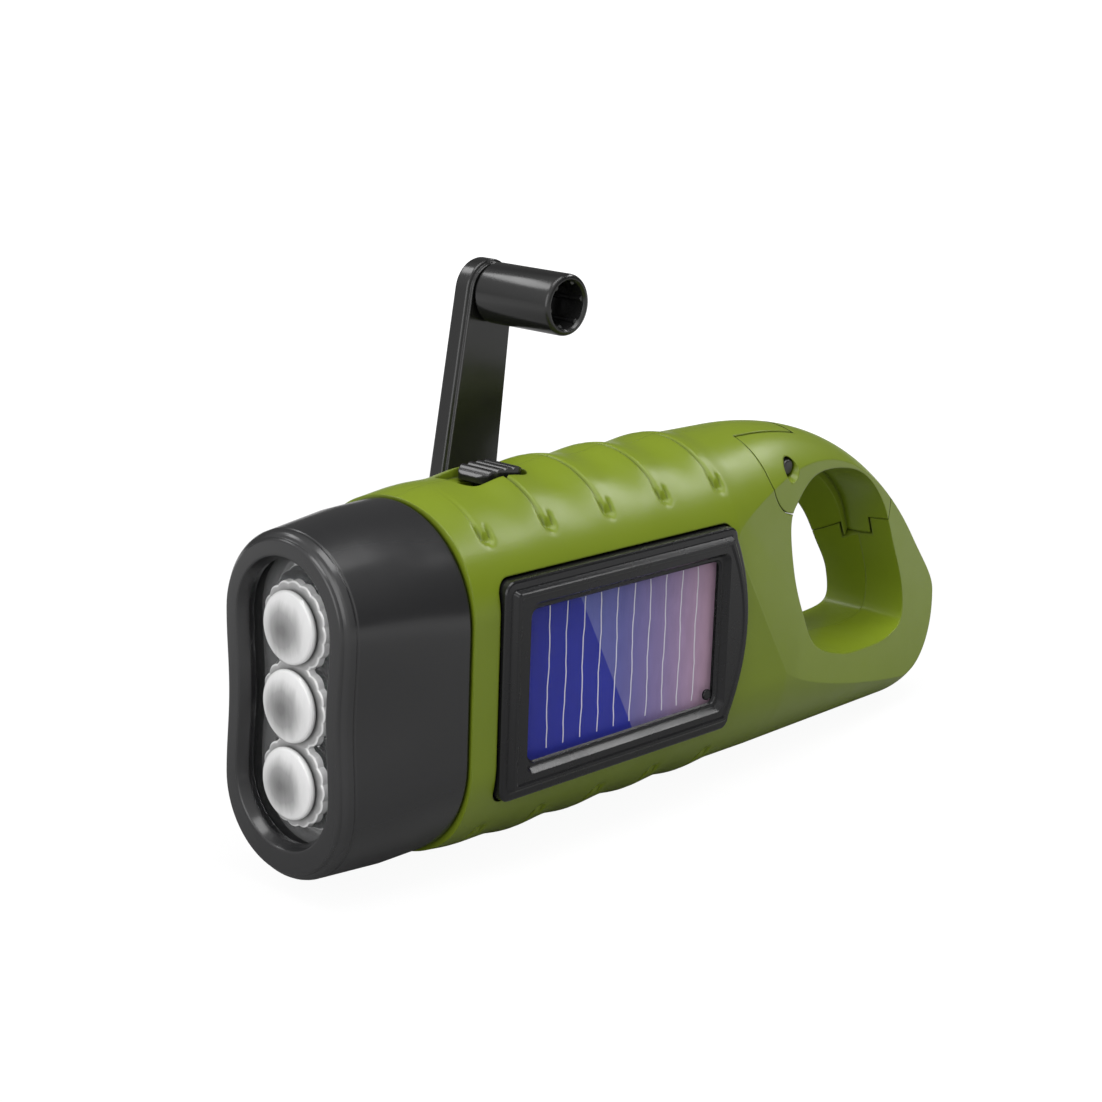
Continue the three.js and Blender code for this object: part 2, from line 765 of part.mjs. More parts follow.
// The slider rests at the rear end of its travel
const sliderPlay = switchPocketLength - switchLength - switchTravel;
const sliderStart = () => switchFront + switchTravel + sliderPlay / 2;
const stemStart = () => sliderStart() + (switchLength - switchStemLength) / 2;

function panelSideShell() {
  const padDepth = pocketFloor - pocketPadThickness;
  const padInner = block(
    frameFront - pocketPadMargin,
    cavityEnd + fitGap,
    padDepth,
    surfaceY(0) - wall / 2,
    -frameHalfHeight - pocketPadMargin,
    frameHalfHeight + pocketPadMargin,
  );
  const pad = common(padInner, sectionBar(bodyStart, tailStart, wall / 2));
  const pocket = loft([
    frameRing(-fitGap, pocketFloor),
    frameRing(-fitGap, bodyHalfWidth + overrun),
  ]);
  const window = block(
    frameFront + frameHalfHeight / 2,
    frameRear - frameHalfHeight / 2,
    padDepth - overrun,
    bodyHalfWidth,
    -pocketWindowHalfHeight,
    pocketWindowHalfHeight,
  );
  const pilots = screws.map(({ x, z, tip }) =>
    bar(screwRadius + fitGap, -overrun, fitGap - tip, x, z, smallSteps),
  );
  return mirroredY(cut(join(plainHalf(holeShares), pad), pocket, window, ...pilots));
}

function crankSideShell() {
  const dome = turned(
    [
      [0, domeRoot],
      [domeRadius + domeWall, domeRoot],
      [domeRadius, bodyHalfWidth],
      [domeTopRadius + domeEdge / 2, domeTop - domeEdge],
      [domeTopRadius - domeEdge / 2, domeTop],
      [0, domeTop],
    ],
    crankX,
    crankZ,
    largeSteps,
  );
  const inside = bodyHalfWidth - wall;
  const gearRoom = gearTip(wheelTeeth) + runGap;
  const recess = cut(
    turned(
      [
        [0, lowGearY],
        [gearRoom, lowGearY],
        [gearRoom, inside],
        [domeTopRadius - domeWall - domeEdge, domeTop - domeWall],
        [0, domeTop - domeWall],
      ],
      crankX,
      crankZ,
      largeSteps,
    ),
    bar(spindleRadius + runGap + bearingWall, gearLevel(2) + gearWidth + runGap, domeTop, crankX, crankZ),
  );
  const main = sectionBar(bodyStart - overrun, cavityEnd, wall);
  const cap = cut(dome, main, recess);
  const posts = postPlaces.map(([x, z]) =>
    bar(postRadius, plateY + plateThickness + fitGap, surfaceY(z) - wall / 2, x, z, smallSteps),
  );
  const postBores = postPlaces.map(([x, z]) =>
    bar(plateScrewRadius + fitGap, plateY, plateY + plateThickness + plateScrewDepth, x, z, hexSteps),
  );
  const levels = [
    [...firstIdler(), gearLevel(2) + gearWidth + runGap, idlerAxleRadius],
    [...secondIdler(), gearLevel(1) + gearWidth + runGap, idlerAxleRadius],
    [...rotorPlace(), gearLevel(0) + gearWidth + runGap, rotorShaftRadius],
  ];
  const bosses = levels.map(([x, z, y, radius]) =>
    bar(radius + fitGap + postRadius / 2, y, surfaceY(z) - wall / 2, x, z, smallSteps),
  );
  const bores = levels.map(([x, z, y, radius]) =>
    bar(radius + fitGap, y - overrun, axleEnd(y, z) + fitGap, x, z, smallSteps),
  );
  const holes = screws.flatMap(({ x, z, seat }) => [
    bar(screwRadius + fitGap, -overrun, seat + overrun, x, z, smallSteps),
    bar(screwHeadRadius + fitGap, seat, bothSides, x, z, smallSteps),
  ]);
  const bearing = bar(spindleRadius + runGap, lowGearY, domeTop + overrun, crankX, crankZ);
  return cut(join(cut(plainHalf(holeFarShares), recess), cap, ...posts, ...bosses), ...postBores, ...bores, ...holes, bearing);
}

// Gears: involute teeth on three axles and the crank's own

const pitchRadius = (teeth) => (gearModule * teeth) / 2;
const gearTip = (teeth) => pitchRadius(teeth) + gearModule * addendumShare;
const gearLevel = (level) => lowGearY + level * (gearWidth + gearSpace);
const meshDistance = pitchRadius(wheelTeeth) + pitchRadius(pinionTeeth);
const along = ([x, z], degrees) => [
  x + meshDistance * Math.cos(radians(degrees)),
  z + meshDistance * Math.sin(radians(degrees)),
];
const crankPlace = () => [crankX, crankZ];
const firstIdler = () => along(crankPlace(), firstTurn);
const secondIdler = () => along(firstIdler(), secondTurn);
const rotorPlace = () => along(secondIdler(), rotorTurn);
const axleEnd = (y, z) => Math.min(y + 2 * gearWidth, surfaceY(z) - wall);

const involute = (angle) => Math.tan(angle) - angle;

// Half the angle that a tooth covers at a radius
function toothHalfAngle(teeth, radius) {
  const pitch = pitchRadius(teeth);
  const base = pitch * Math.cos(radians(pressureAngle));
  const atPitch = (Math.PI * pitch) / teeth / 2 - toothBacklash / 2;
  const lean = Math.acos(Math.min(1, base / radius));
  return atPitch / pitch + involute(radians(pressureAngle)) - involute(lean);
}

function gearShape(teeth, turn) {
  const root = pitchRadius(teeth) - gearModule * dedendumShare;
  const radii = teeth > pinionTeeth ? [root, gearTip(teeth)] : [root, pitchRadius(teeth), gearTip(teeth)];
  const shape = [];
  for (let i = 0; i < teeth; i++) {
    const centre = turn + (2 * Math.PI * i) / teeth;
    const flank = radii.map((radius) => [radius, toothHalfAngle(teeth, radius)]);
    for (const [radius, half] of flank) {
      shape.push([radius * Math.cos(centre - half), radius * Math.sin(centre - half)]);
    }
    for (const [radius, half] of [...flank].reverse()) {
      shape.push([radius * Math.cos(centre + half), radius * Math.sin(centre + half)]);
    }
  }
  return polygon(shape);
}

function gear(teeth, turn, y0, y1, x, z) {
  return shifted(slab(gearShape(teeth, turn), y0, y1, "y"), x, 0, z);
}

// The turn that puts a follower's gap on the leader's tooth, both seen along the line of centres
function meshTurn(leaderTeeth, leaderTurn, teeth, degrees) {
  const line = radians(degrees);
  const phase = ((line - leaderTurn) * leaderTeeth) / (2 * Math.PI);
  return line + Math.PI - ((0.5 - phase) * 2 * Math.PI) / teeth;
}

const firstPinionTurn = meshTurn(wheelTeeth, 0, pinionTeeth, firstTurn);
const secondPinionTurn = meshTurn(wheelTeeth, 0, pinionTeeth, secondTurn);
const rotorPinionTurn = meshTurn(wheelTeeth, 0, pinionTeeth, rotorTurn);

function crankGear() {
  const [x, z] = crankPlace();
  const wheel = gear(wheelTeeth, 0, gearLevel(2), gearLevel(2) + gearWidth, x, z);
  return cut(wheel, bar(spindleRadius + fitGap, 0, bothSides, x, z, hexSteps));
}

// A large wheel below and a small pinion above on one hub
function idlerGear([x, z], level, pinionTurn) {
  const wheelTop = gearLevel(level) + gearWidth;
  const wheel = gear(wheelTeeth, 0, gearLevel(level), wheelTop, x, z);
  const pinionTop = gearLevel(level + 1) + gearWidth;
  const pinion = gear(pinionTeeth, pinionTurn, wheelTop - gearWidth / 2, pinionTop, x, z);
  return cut(join(wheel, pinion), bar(idlerAxleRadius + runGap, 0, bothSides, x, z, smallSteps));
}

function idlerAxle([x, z], level) {
  const y = gearLevel(level + 1) + gearWidth + runGap;
  return bar(idlerAxleRadius, plateY, axleEnd(y, z), x, z, smallSteps);
}

// One steel shaft with its pinion
function rotorShaft() {
  const [x, z] = rotorPlace();
  const top = gearLevel(0) + gearWidth;
  const magnetLow = plateY - plateThickness - magnetLength - fitGap;
  const shaft = bar(rotorShaftRadius, magnetLow - gearWidth, axleEnd(top + runGap, z), x, z, smallSteps);
  return join(shaft, gear(pinionTeeth, rotorPinionTurn, gearLevel(0), top, x, z));
}

const magnetTop = () => plateY - plateThickness - fitGap;

function rotorMagnet() {
  const [x, z] = rotorPlace();
  const magnet = bar(magnetRadius, magnetTop() - magnetLength, magnetTop(), x, z);
  return cut(magnet, bar(rotorShaftRadius + fitGap, -bothSides, bothSides, x, z, smallSteps));
}

// The iron core: two poles round the magnet and a yoke that carries the coil
function coreBounds() {
  const [x, z] = rotorPlace();
  const inner = magnetRadius + corePoleGap;
  return { x, z, inner, outer: inner + coreLeg, rear: x + coreReach };
}

function statorCore() {
  const { x, z, inner, outer, rear } = coreBounds();
  const top = magnetTop() - (magnetLength - coreThickness) / 2;
  const low = top - coreThickness;
  const plate = slab(
    polygon([
      [x - outer, z - outer],
      [rear, z - outer],
      [rear, z + outer],
      [x - outer, z + outer],
    ]),
    low,
    top,
    "y",
  );
  const bore = bar(inner, low - overrun, top + overrun, x, z);
  const room = block(x, rear - coilYoke, low - overrun, top + overrun, z - inner, z + inner);
  const split = block(x - 2 * outer, x, low - overrun, top + overrun, z - corePoleGap, z + corePoleGap);
  return cut(plate, bore, room, split);
}

function statorCoil() {
  const { z, inner, rear } = coreBounds();
  const top = magnetTop() - (magnetLength - coreThickness) / 2;
  const low = top - coreThickness;
  const half = inner - fitGap;
  const winding = half - coilEndGap;
  const round = (radius, size) => [
    rear - coilYoke - size - radius,
    rear + size + radius,
    low - size,
    top + size,
  ];
  const [x0, x1, y0, y1] = round(0, coilBuild);
  const wound = block(x0, x1, y0, Math.min(y1, plateY - plateScrewHead), z - winding, z + winding);
  const ends = block(
    rear - coilYoke - coilBuild - fitGap,
    rear + coilBuild + fitGap,
    low - coilBuild - fitGap,
    Math.min(y1 + fitGap, plateY - plateScrewHead),
    z - half,
    z + half,
  );
  const between = block(x0 - overrun, x1 + overrun, y0 - overrun, bothSides, z - winding, z + winding);
  const spool = cut(ends, between);
  const bore = block(
    rear - coilYoke - fitGap,
    rear + fitGap,
    low - fitGap,
    top + fitGap,
    z - half - overrun,
    z + half + overrun,
  );
  return cut(join(wound, spool), bore);
}

// Gear plate: arms between the posts, the idler axles and the rotor
function gearPlate() {
  const [a, b, c] = postPlaces;
  const [first, second, rotor] = [firstIdler(), secondIdler(), rotorPlace()];
  const arms = [[a, first], [first, b], [b, rotor], [rotor, c], [c, second], [second, a]];
  const top = plateY + plateThickness;
  const plate = join(...arms.map(([from, to]) => armBar(from, to, plateY, top)));
  const holes = [
    ...postPlaces.map(([x, z]) => bar(plateScrewRadius + fitGap, 0, bothSides, x, z, smallSteps)),
    ...[first, second].map(([x, z]) => bar(idlerAxleRadius + fitGap, 0, bothSides, x, z, smallSteps)),
    bar(rotorShaftRadius + runGap, 0, bothSides, ...rotor, smallSteps),
  ];
  return cut(plate, ...holes);
}

// A flat arm with round ends from one place to another
function armBar([x0, z0], [x1, z1], low, high) {
  const turn = Math.atan2(z1 - z0, x1 - x0);
  const shape = new THREE.Shape();
  shape.absarc(x0, z0, plateArm, turn + Math.PI / 2, turn - Math.PI / 2, false);
  shape.absarc(x1, z1, plateArm, turn - Math.PI / 2, turn + Math.PI / 2, false);
  return slab(shape, low, high, "y", bowlSteps);
}

// A screw along Y: its head sits at `seat`, its shank runs to `tip`
function screwBody(radius, headRadius, headThickness, seat, tip) {
  const way = Math.sign(seat - tip);
  const head = seat + way * headThickness;
  return turned(
    [
      [0, tip],
      [radius, tip + way * radius],
      [radius, seat],
      [headRadius, seat],
      [headRadius, head],
      [0, head],
    ],
    0,
    0,
    smallSteps,
  );
}

// Head hood: a tapered cup with a peanut-shaped mouth

const headCentre = (x) => ((bodyTop + bodyBottom) / 2) * (x / bodyStart) - faceDrop * (1 - x / bodyStart);

function hoodSize(x) {
  const rearHalfWidth = bodyHalfWidth - hoodRearStep;
  const rearHalfHeight = (bodyTop - bodyBottom) / 2 - frontFall - hoodRearStep;
  const front = x < hoodBreakX;
  const t = front ? x / hoodBreakX : (x - hoodBreakX) / (bodyStart - hoodBreakX);
  const mix = (from, to) => from + (to - from) * t;
  return {
    halfWidth: front ? mix(faceHalfWidth, hoodBreakHalfWidth) : mix(hoodBreakHalfWidth, rearHalfWidth),
    halfHeight: front ? mix(faceHalfHeight, hoodBreakHalfHeight) : mix(hoodBreakHalfHeight, rearHalfHeight),
    waist: faceWaist * (1 - x / bodyStart),
  };
}

function hoodRing(x, inset) {
  const { halfWidth, halfHeight, waist } = hoodSize(x);
  const centre = headCentre(x);
  return stadiumRing(x, halfWidth - inset, centre + halfHeight - inset, centre - halfHeight + inset, waist);
}

const hoodRear = () => bodyStart - fitGap;

function headHood() {
  const rings = faceRoundingShares.map(([depthShare, insetShare]) =>
    hoodRing(faceRounding * depthShare, faceRounding * insetShare),
  );
  rings.push(hoodRing(hoodBreakX, 0), hoodRing(hoodRear(), 0));
  const outer = loft(rings);
  const mouth = (x, grow) =>
    stadiumRing(x, mouthHalfWidth + grow, mouthHalfHeight + grow, -mouthHalfHeight - grow, faceWaist);
  const opening = loft([mouth(-overrun, mouthFlare), mouth(0, mouthFlare), mouth(mouthDepth + overrun, 0)]);
  const room = loft([
    hoodRing(mouthDepth, hoodWall),
    hoodRing(hoodBreakX, hoodWall),
    hoodRing(bodyStart, hoodWall),
    hoodRing(bodyStart + overrun, hoodWall),
  ]);
  return cut(outer, opening, room);
}

const windowStart = () => mouthDepth + fitGap;

function lampOutline(x, lap) {
  return stadiumRing(x, mouthHalfWidth + lap, mouthHalfHeight + lap, -mouthHalfHeight - lap, faceWaist);
}

function lensWindow() {
  const start = windowStart();
  return loft([lampOutline(start, windowLap), lampOutline(start + windowThickness, windowLap)]);
}

const reflectorStart = () => windowStart() + windowThickness + fitGap;
const reflectorEnd = () => reflectorStart() + reflectorDepth;

// A tray with three bowls that run into each other
function reflector() {
  const [start, end] = [reflectorStart(), reflectorEnd()];
  const tray = loft([
    lampOutline(start, windowLap),
    lampOutline(start + reflectorRim, windowLap),
    lampOutline(start + reflectorRim, windowLap - fitGap),
    lampOutline(end, 0),
  ]);
  const bowl = bowlTool();
  const bowls = [-1, 0, 1].map((i) => shifted(bowl, 0, 0, i * lampPitch));
  return cut(tray, ...bowls);
}

// One bowl: a parabola turned about X
function bowlTool() {
  const [start, end] = [reflectorStart(), reflectorEnd()];
  const steps = bowlSteps;
  const profile = [[0, start - overrun], [cupMouthRadius, start - overrun]];
  for (let i = 0; i <= steps; i++) {
    const share = i / steps;
    const square = cupMouthRadius ** 2 + (cupFloorRadius ** 2 - cupMouthRadius ** 2) * share;
    profile.push([Math.sqrt(square), start + (end - start) * share]);
  }
  profile.push([cupFloorRadius, end + overrun], [0, end + overrun]);
  return turnedX(profile, roundSteps);
}

// A turned piece whose axis is X, from a list of radius and x
function turnedX(profile, steps) {
  const points = profile.map(([radius, x]) => new THREE.Vector2(radius, x));
  return solid(new THREE.LatheGeometry(points, steps).rotateZ(-Math.PI / 2));
}

const ledBoardStart = () => reflectorEnd() + fitGap;

// A clear lamp: a flange on the board, a stem and a dome
function ledLens() {
  const base = ledBoardStart() - fitGap;
  const dome = base - lampFlangeThickness - lampStem;
  const profile = [[0, base], [lampFlangeRadius - fitGap / 2, base]];
  profile.push([lampFlangeRadius - fitGap / 2, base - lampFlangeThickness]);
  profile.push([lampRadius, base - lampFlangeThickness]);
  for (let i = 0; i <= domeSteps; i++) {
    const turn = (i / domeSteps) * (Math.PI / 2);
    profile.push([lampRadius * Math.cos(turn), dome - lampRadius * Math.sin(turn)]);
  }
  return turnedX(profile, roundSteps);
}

function ledBoard() {
  const start = ledBoardStart();
  const end = start + ledBoardThickness;
  const inset = hoodWall + fitGap;
  return loft([hoodRing(start, inset), hoodRing(end, inset)]);
}

// Solar panel frame, its cover and its cell, on the -Y side

function frameRing(inset, y) {
  const corner = Math.max(frameCorner - inset, frameCorner / 4);
  const [left, right] = [frameFront + inset, frameRear - inset];
  const half = frameHalfHeight - inset;
  const shape = new THREE.Shape();
  shape.absarc(right - corner, half - corner, corner, 0, Math.PI / 2, false);
  shape.absarc(left + corner, half - corner, corner, Math.PI / 2, Math.PI, false);
  shape.absarc(left + corner, corner - half, corner, Math.PI, 1.5 * Math.PI, false);
  shape.absarc(right - corner, corner - half, corner, 1.5 * Math.PI, 2 * Math.PI, false);
  shape.quadraticCurveTo(right + 2 * frameBow, 0, right, half - corner);
  return shape.getPoints(hexSteps).slice(0, -1).map((p) => [p.x, y, p.y]);
}

function cellBlock(grow, y0, y1) {
  return block(cellFront - grow, cellRear + grow, y0, y1, -cellHalfHeight - grow, cellHalfHeight + grow);
}

function cellRing(grow, y) {
  const [left, right, half] = [cellFront - grow, cellRear + grow, cellHalfHeight + grow];
  return [[left, y, -half], [right, y, -half], [right, y, half], [left, y, half]];
}

function solarFrame() {
  const outer = loft([
    frameRing(0, frameBack),
    frameRing(0, frameShoulder - frameEase),
    frameRing(frameEase, frameShoulder),
    frameRing(frameStep, frameShoulder + fitGap / 2),
    frameRing(frameStep + frameEase, frameRim),
    frameRing(frameStep + frameEase + frameRimWidth, frameRim),
  ]);
  const window = loft([
    cellRing(0, frameBack - overrun),
    cellRing(0, coverFace),
    cellRing(cellFlare, frameRim),
    cellRing(cellFlare, frameRim + overrun),
  ]);
  const seat = cellBlock(cellLap + fitGap, frameBack - overrun, coverFace + fitGap);
  return mirroredY(cut(outer, window, seat));
}

function solarCover() {
  return mirroredY(cellBlock(cellLap, coverFace - coverThickness, coverFace));
}

function solarCell() {
  const top = coverFace - coverThickness - fitGap;
  return mirroredY(cellBlock(cellLap, top - cellThickness, top));
}

// Switch: a slider with a ridged thumb piece over a small slide switch

function switchSlider() {
  const [start, floor] = [sliderStart(), bodyTop - switchPocketDepth + runGap];
  const top = bodyTop + switchRise;
  const cap = new THREE.Shape();
  const ease = thumbRidge;
  cap.moveTo(start, floor);
  cap.lineTo(start + switchLength, floor);
  cap.lineTo(start + switchLength, bodyTop + ease);
  const ridge = (switchLength - 4 * ease) / thumbRidgeCount;
  cap.lineTo(start + switchLength - 2 * ease, top);
  for (let i = thumbRidgeCount - 1; i > 0; i--) {
    const x = start + 2 * ease + i * ridge;
    cap.lineTo(x + ease, top);
    cap.lineTo(x, top - ease);
    cap.lineTo(x - ease, top);
  }
  cap.lineTo(start + 2 * ease, top);
  cap.lineTo(start, bodyTop + ease);
  const body = slab(cap, -switchHalfWidth, switchHalfWidth, "y");
  const stemX = stemStart();
  const stem = block(
    stemX,
    stemX + switchStemLength,
    -switchStemHalfWidth,
    switchStemHalfWidth,
    switchBodyTop() - switchBodyHeight / 2,
    bodyTop,
  );
  return join(body, stem);
}

const switchBodyTop = () => bodyTop - wall - 2 * fitGap;

function switchBody() {
  const start = stemStart() - switchTravel - runGap - wall;
  const end = start + switchStemLength + switchTravel + 2 * runGap + 2 * wall;
  const top = switchBodyTop();
  const body = block(start, end, -switchBodyHalfWidth, switchBodyHalfWidth, top - switchBodyHeight, top);
  const half = switchStemHalfWidth + runGap;
  const depth = switchBodyHeight / 2 + fitGap;
  return cut(body, block(start + wall, end - wall, -half, half, top - depth, top + overrun));
}

const boardY = () => pocketFloor - pocketPadThickness - fitGap;

function mainBoard() {
  const y = -boardY();
  const [rear, half] = [boardFront + boardLength, boardHalfHeight];
  const board = block(boardFront, rear, y, y + boardThickness, -half, half);
  const notch = screwBossRadius + fitGap;
  const notches = screws.map(({ x, z }) => bar(notch, y - overrun, y + boardThickness + overrun, x, z));
  return cut(board, ...notches);
}

// Three button cells in a row, wrapped as one pack
function batteryPack() {
  const rear = cavityEnd - batteryEndGap;
  const front = rear - batteryLength;
  const cell = batteryLength / cellCount;
  const profile = [[0, front], [batteryRadius - cellSeam, front]];
  for (let i = 0; i < cellCount; i++) {
    const start = front + i * cell;
    profile.push([batteryRadius, start + cellSeam]);
    profile.push([batteryRadius, start + cell - cellSeam]);
    profile.push([batteryRadius - cellSeam, start + cell]);
  }
  profile.push([0, rear]);
  const y = -boardY() + boardThickness + fitGap + batteryRadius;
  return shifted(turnedX(profile, roundSteps), 0, y, batteryZ);
}

// Crank: spindle, hub with a fork, folding arm and turning knob

const hubY = () => domeTop + runGap;
const hubTop = () => hubY() + hubDiscThickness;
const spindleTop = () => hubTop() - hubFloor - fitGap;

function crankSpindle() {
  const low = gearLevel(2) - fitGap;
  const gearTop = gearLevel(2) + gearWidth;
  const hex = bar(spindleRadius, low, gearTop + runGap, crankX, crankZ, hexSteps);
  const shaft = bar(spindleRadius, gearTop + runGap, spindleTop(), crankX, crankZ);
  const pilot = spindleTop() - hubScrewDepth;
  const bore = bar(hubScrewRadius + fitGap, pilot, spindleTop() + overrun, crankX, crankZ, smallSteps);
  return cut(join(hex, shaft), bore);
}

const leanMatrix = () =>
  new THREE.Matrix4()
    .makeTranslation(crankX, 0, crankZ)
    .multiply(new THREE.Matrix4().makeRotationY(radians(crankLean)));

// The crank's own pieces are drawn upright about its axis and then leaned as one
const leaned = (body) => moved(body, leanMatrix());

function crankHub() {
  const [low, top] = [hubY(), hubTop()];
  const round = turned(
    [
      [0, low],
      [hubRadius - hubEdge, low],
      [hubRadius, low + hubEdge],
      [hubRadius, top - hubEdge],
      [hubRadius - hubEdge, top],
      [0, top],
    ],
    0,
    0,
    largeSteps,
  );
  const earShape = new THREE.Shape();
  const foot = top - hubEdge;
  earShape.moveTo(foot, -earRootHalfWidth);
  earShape.absarc(foldAxisY, 0, earRadius, radians(-earTurn), radians(earTurn), false);
  earShape.lineTo(foot, earRootHalfWidth);
  const inner = armRootWidth / 2 + runGap;
  const ear = earAt(earShape, inner, inner + earThickness);
  const otherEar = earAt(earShape, -inner - earThickness, -inner);
  const socket = bar(spindleRadius + fitGap, low - overrun, top - hubFloor, 0, 0);
  const screwHole = bar(hubScrewRadius + fitGap, low, top + overrun, 0, 0, smallSteps);
  const pin = barX(foldPinRadius + runGap, -hubRadius, hubRadius, foldAxisY, 0, smallSteps);
  return leaned(cut(join(round, ear, otherEar), socket, screwHole, pin));
}

// An outline of (y, z) pushed along X
function earAt(shape, x0, x1) {
  return slab(shape, x0, x1, "x");
}

function hubScrew() {
  const seat = hubTop() + fitGap / 3;
  const screw = screwBody(hubScrewRadius, hubScrewHeadRadius, hubScrewHead, seat, seat - hubScrewDepth);
  return shifted(screw, crankX, 0, crankZ);
}

function foldPin() {
  const half = armRootWidth / 2 + runGap + earThickness;
  return leaned(barX(foldPinRadius, -half, half, foldAxisY, 0, smallSteps));
}

// A flat arm with a sunk panel on both faces and a barrel round the fold pin
function crankArm() {
  const [low, high] = [foldAxisY - armThickness / 2, foldAxisY + armThickness / 2];
  const root = foldBarrelRadius;
  const outline = (inset) => {
    const half = armRootWidth / 2 - inset;
    const tip = armTipRadius - inset;
    const shape = new THREE.Shape();
    const foot = inset > 0 ? root + inset : 0;
    shape.moveTo(-half, foot);
    shape.lineTo(half, foot);
    const lean = Math.asin((armRootWidth / 2 - armTipRadius) / crankRadius);
    shape.absarc(0, crankRadius, tip, lean, Math.PI - lean, false);
    return shape;
  };
  const plate = slab(outline(0), low, high, "y");
  const panel = outline(armRimWidth);
  const sunk = [
    slab(panel, low - overrun, low + armPanelDepth, "y"),
    slab(panel, high - armPanelDepth, high + overrun, "y"),
  ];
  const barrel = barX(foldBarrelRadius, -armRootWidth / 2, armRootWidth / 2, foldAxisY, 0);
  const eye = bar(knobHeadRadius + armRimWidth / 2, low, high, 0, crankRadius);
  const pinBore = barX(foldPinRadius + runGap, -hubRadius, hubRadius, foldAxisY, 0, smallSteps);
  const axleBore = bar(knobAxleRadius + fitGap, 0, 2 * foldAxisY, 0, crankRadius, smallSteps);
  return leaned(cut(join(cut(plate, ...sunk), barrel, eye), pinBore, axleBore));
}

const armInner = () => foldAxisY - armThickness / 2;
const knobRoot = () => armInner() - runGap;
const knobTip = () => knobRoot() - knobLength;
const knobFloor = () => knobRoot() - knobWeb;

function crankKnob() {
  const [tip, root] = [knobTip(), knobRoot()];
  const bore = knobAxleRadius + runGap;
  const profile = [
    [bore, root],
    [knobRadius - knobEdge, root],
    [knobRadius, root - knobEdge],
    [knobRadius, tip + knobEdge],
    [knobRadius - knobEdge / 2, tip],
    [knobLipBore + knobEdge / 2, tip],
    [knobLipBore, tip + knobLip],
    [knobBore, tip + 2 * knobLip],
    [knobBore, knobFloor()],
    [bore, knobFloor()],
    [bore, root],
  ];
  return leaned(turned(profile, 0, crankRadius));
}

// A rivet-headed axle fixed in the arm, and the clip that keeps the knob on it
function knobAxle() {
  const outer = foldAxisY + armThickness / 2 + fitGap / 3;
  const profile = [
    [0, clipLow() - clipThickness],
    [knobAxleRadius, clipLow() - clipThickness],
    [knobAxleRadius, outer],
    [knobHeadRadius, outer],
    [knobHeadRadius - knobEdge, outer + knobHeadThickness],
    [0, outer + knobHeadThickness],
  ];
  return leaned(turned(profile, 0, crankRadius, roundSteps));
}

const clipTop = () => knobFloor() - runGap;
const clipLow = () => clipTop() - clipThickness;

function knobClip() {
  const bore = knobAxleRadius + fitGap / 2;
  const profile = [
    [bore, clipLow()],
    [clipRadius, clipLow()],
    [clipRadius, clipTop()],
    [bore, clipTop()],
    [bore, clipLow()],
  ];
  return leaned(turned(profile, 0, crankRadius, roundSteps));
}

// Carabiner gate, its pin and its return spring

function carabinerGate() {
  const half = pillow(0, true);
  const form = join(half, mirroredY(half));
  const nose = common(form, latchTool(0));
  const body = common(form, gateTool(-runGap, -runGap));
  const pocketTop = gateTongueHalfWidth + runGap + springHeight() + springWire;
  const pocket = bar(springPocketRadius, 0, pocketTop, gatePinX, gatePinZ);
  const leg = block(
    gatePinX - springRadius - springWire,
    gatePinX - springRadius + springWire,
    0,
    pocketTop + 2 * springWire,
    gatePinZ - springWire,
    gatePinZ + springWire,
  );
  const slot = tongueTool(runGap, gateTongueHalfWidth + runGap);
  const bore = bar(gatePinRadius + runGap, -bothSides, bothSides, gatePinX, gatePinZ, smallSteps);
  return cut(join(body, nose), holeTool(0, holeFarShares), mirroredY(holeTool(0)), slot, bore, pocket, leg);
}

function gatePin() {
  return bar(gatePinRadius, -gatePinHalfLength, gatePinHalfLength, gatePinX, gatePinZ, smallSteps);
}

const springHeight = () => springTurns * springPitch + springWire;

// A coil round the pin whose last end stands up into the gate
function gateSpring() {
  const steps = smallSteps * springTurns;
  const low = gateTongueHalfWidth + runGap + springWire / 2;
  const section = hexSteps;
  const rings = [];
  const ringAt = (centre, outward, up) =>
    Array.from({ length: section }, (_, k) => {
      const turn = (2 * Math.PI * k) / section;
      const [a, b] = [(springWire / 2) * Math.cos(turn), (springWire / 2) * Math.sin(turn)];
      return [0, 1, 2].map((i) => centre[i] + a * outward[i] + b * up[i]);
    });
  for (let i = 0; i <= steps; i++) {
    const turn = Math.PI + ((i - steps) / smallSteps) * 2 * Math.PI;
    const outward = [Math.cos(turn), 0, Math.sin(turn)];
    const y = low + (i / smallSteps) * springPitch;
    const centre = [gatePinX + springRadius * outward[0], y, gatePinZ + springRadius * outward[2]];
    rings.push(ringAt(centre, outward, [0, 1, 0]));
  }
  const top = low + springTurns * springPitch;
  const bend = [gatePinX - springRadius, top + springWire / 4, gatePinZ - springWire / 2];
  const leg = [gatePinX - springRadius, top + 2 * springWire, gatePinZ - springWire / 2];
  rings.push(ringAt(bend, [-1, 0, 0], [0, Math.SQRT1_2, -Math.SQRT1_2]));
  rings.push(ringAt(leg, [-1, 0, 0], [0, 0, -1]));
  return loft(rings);
}

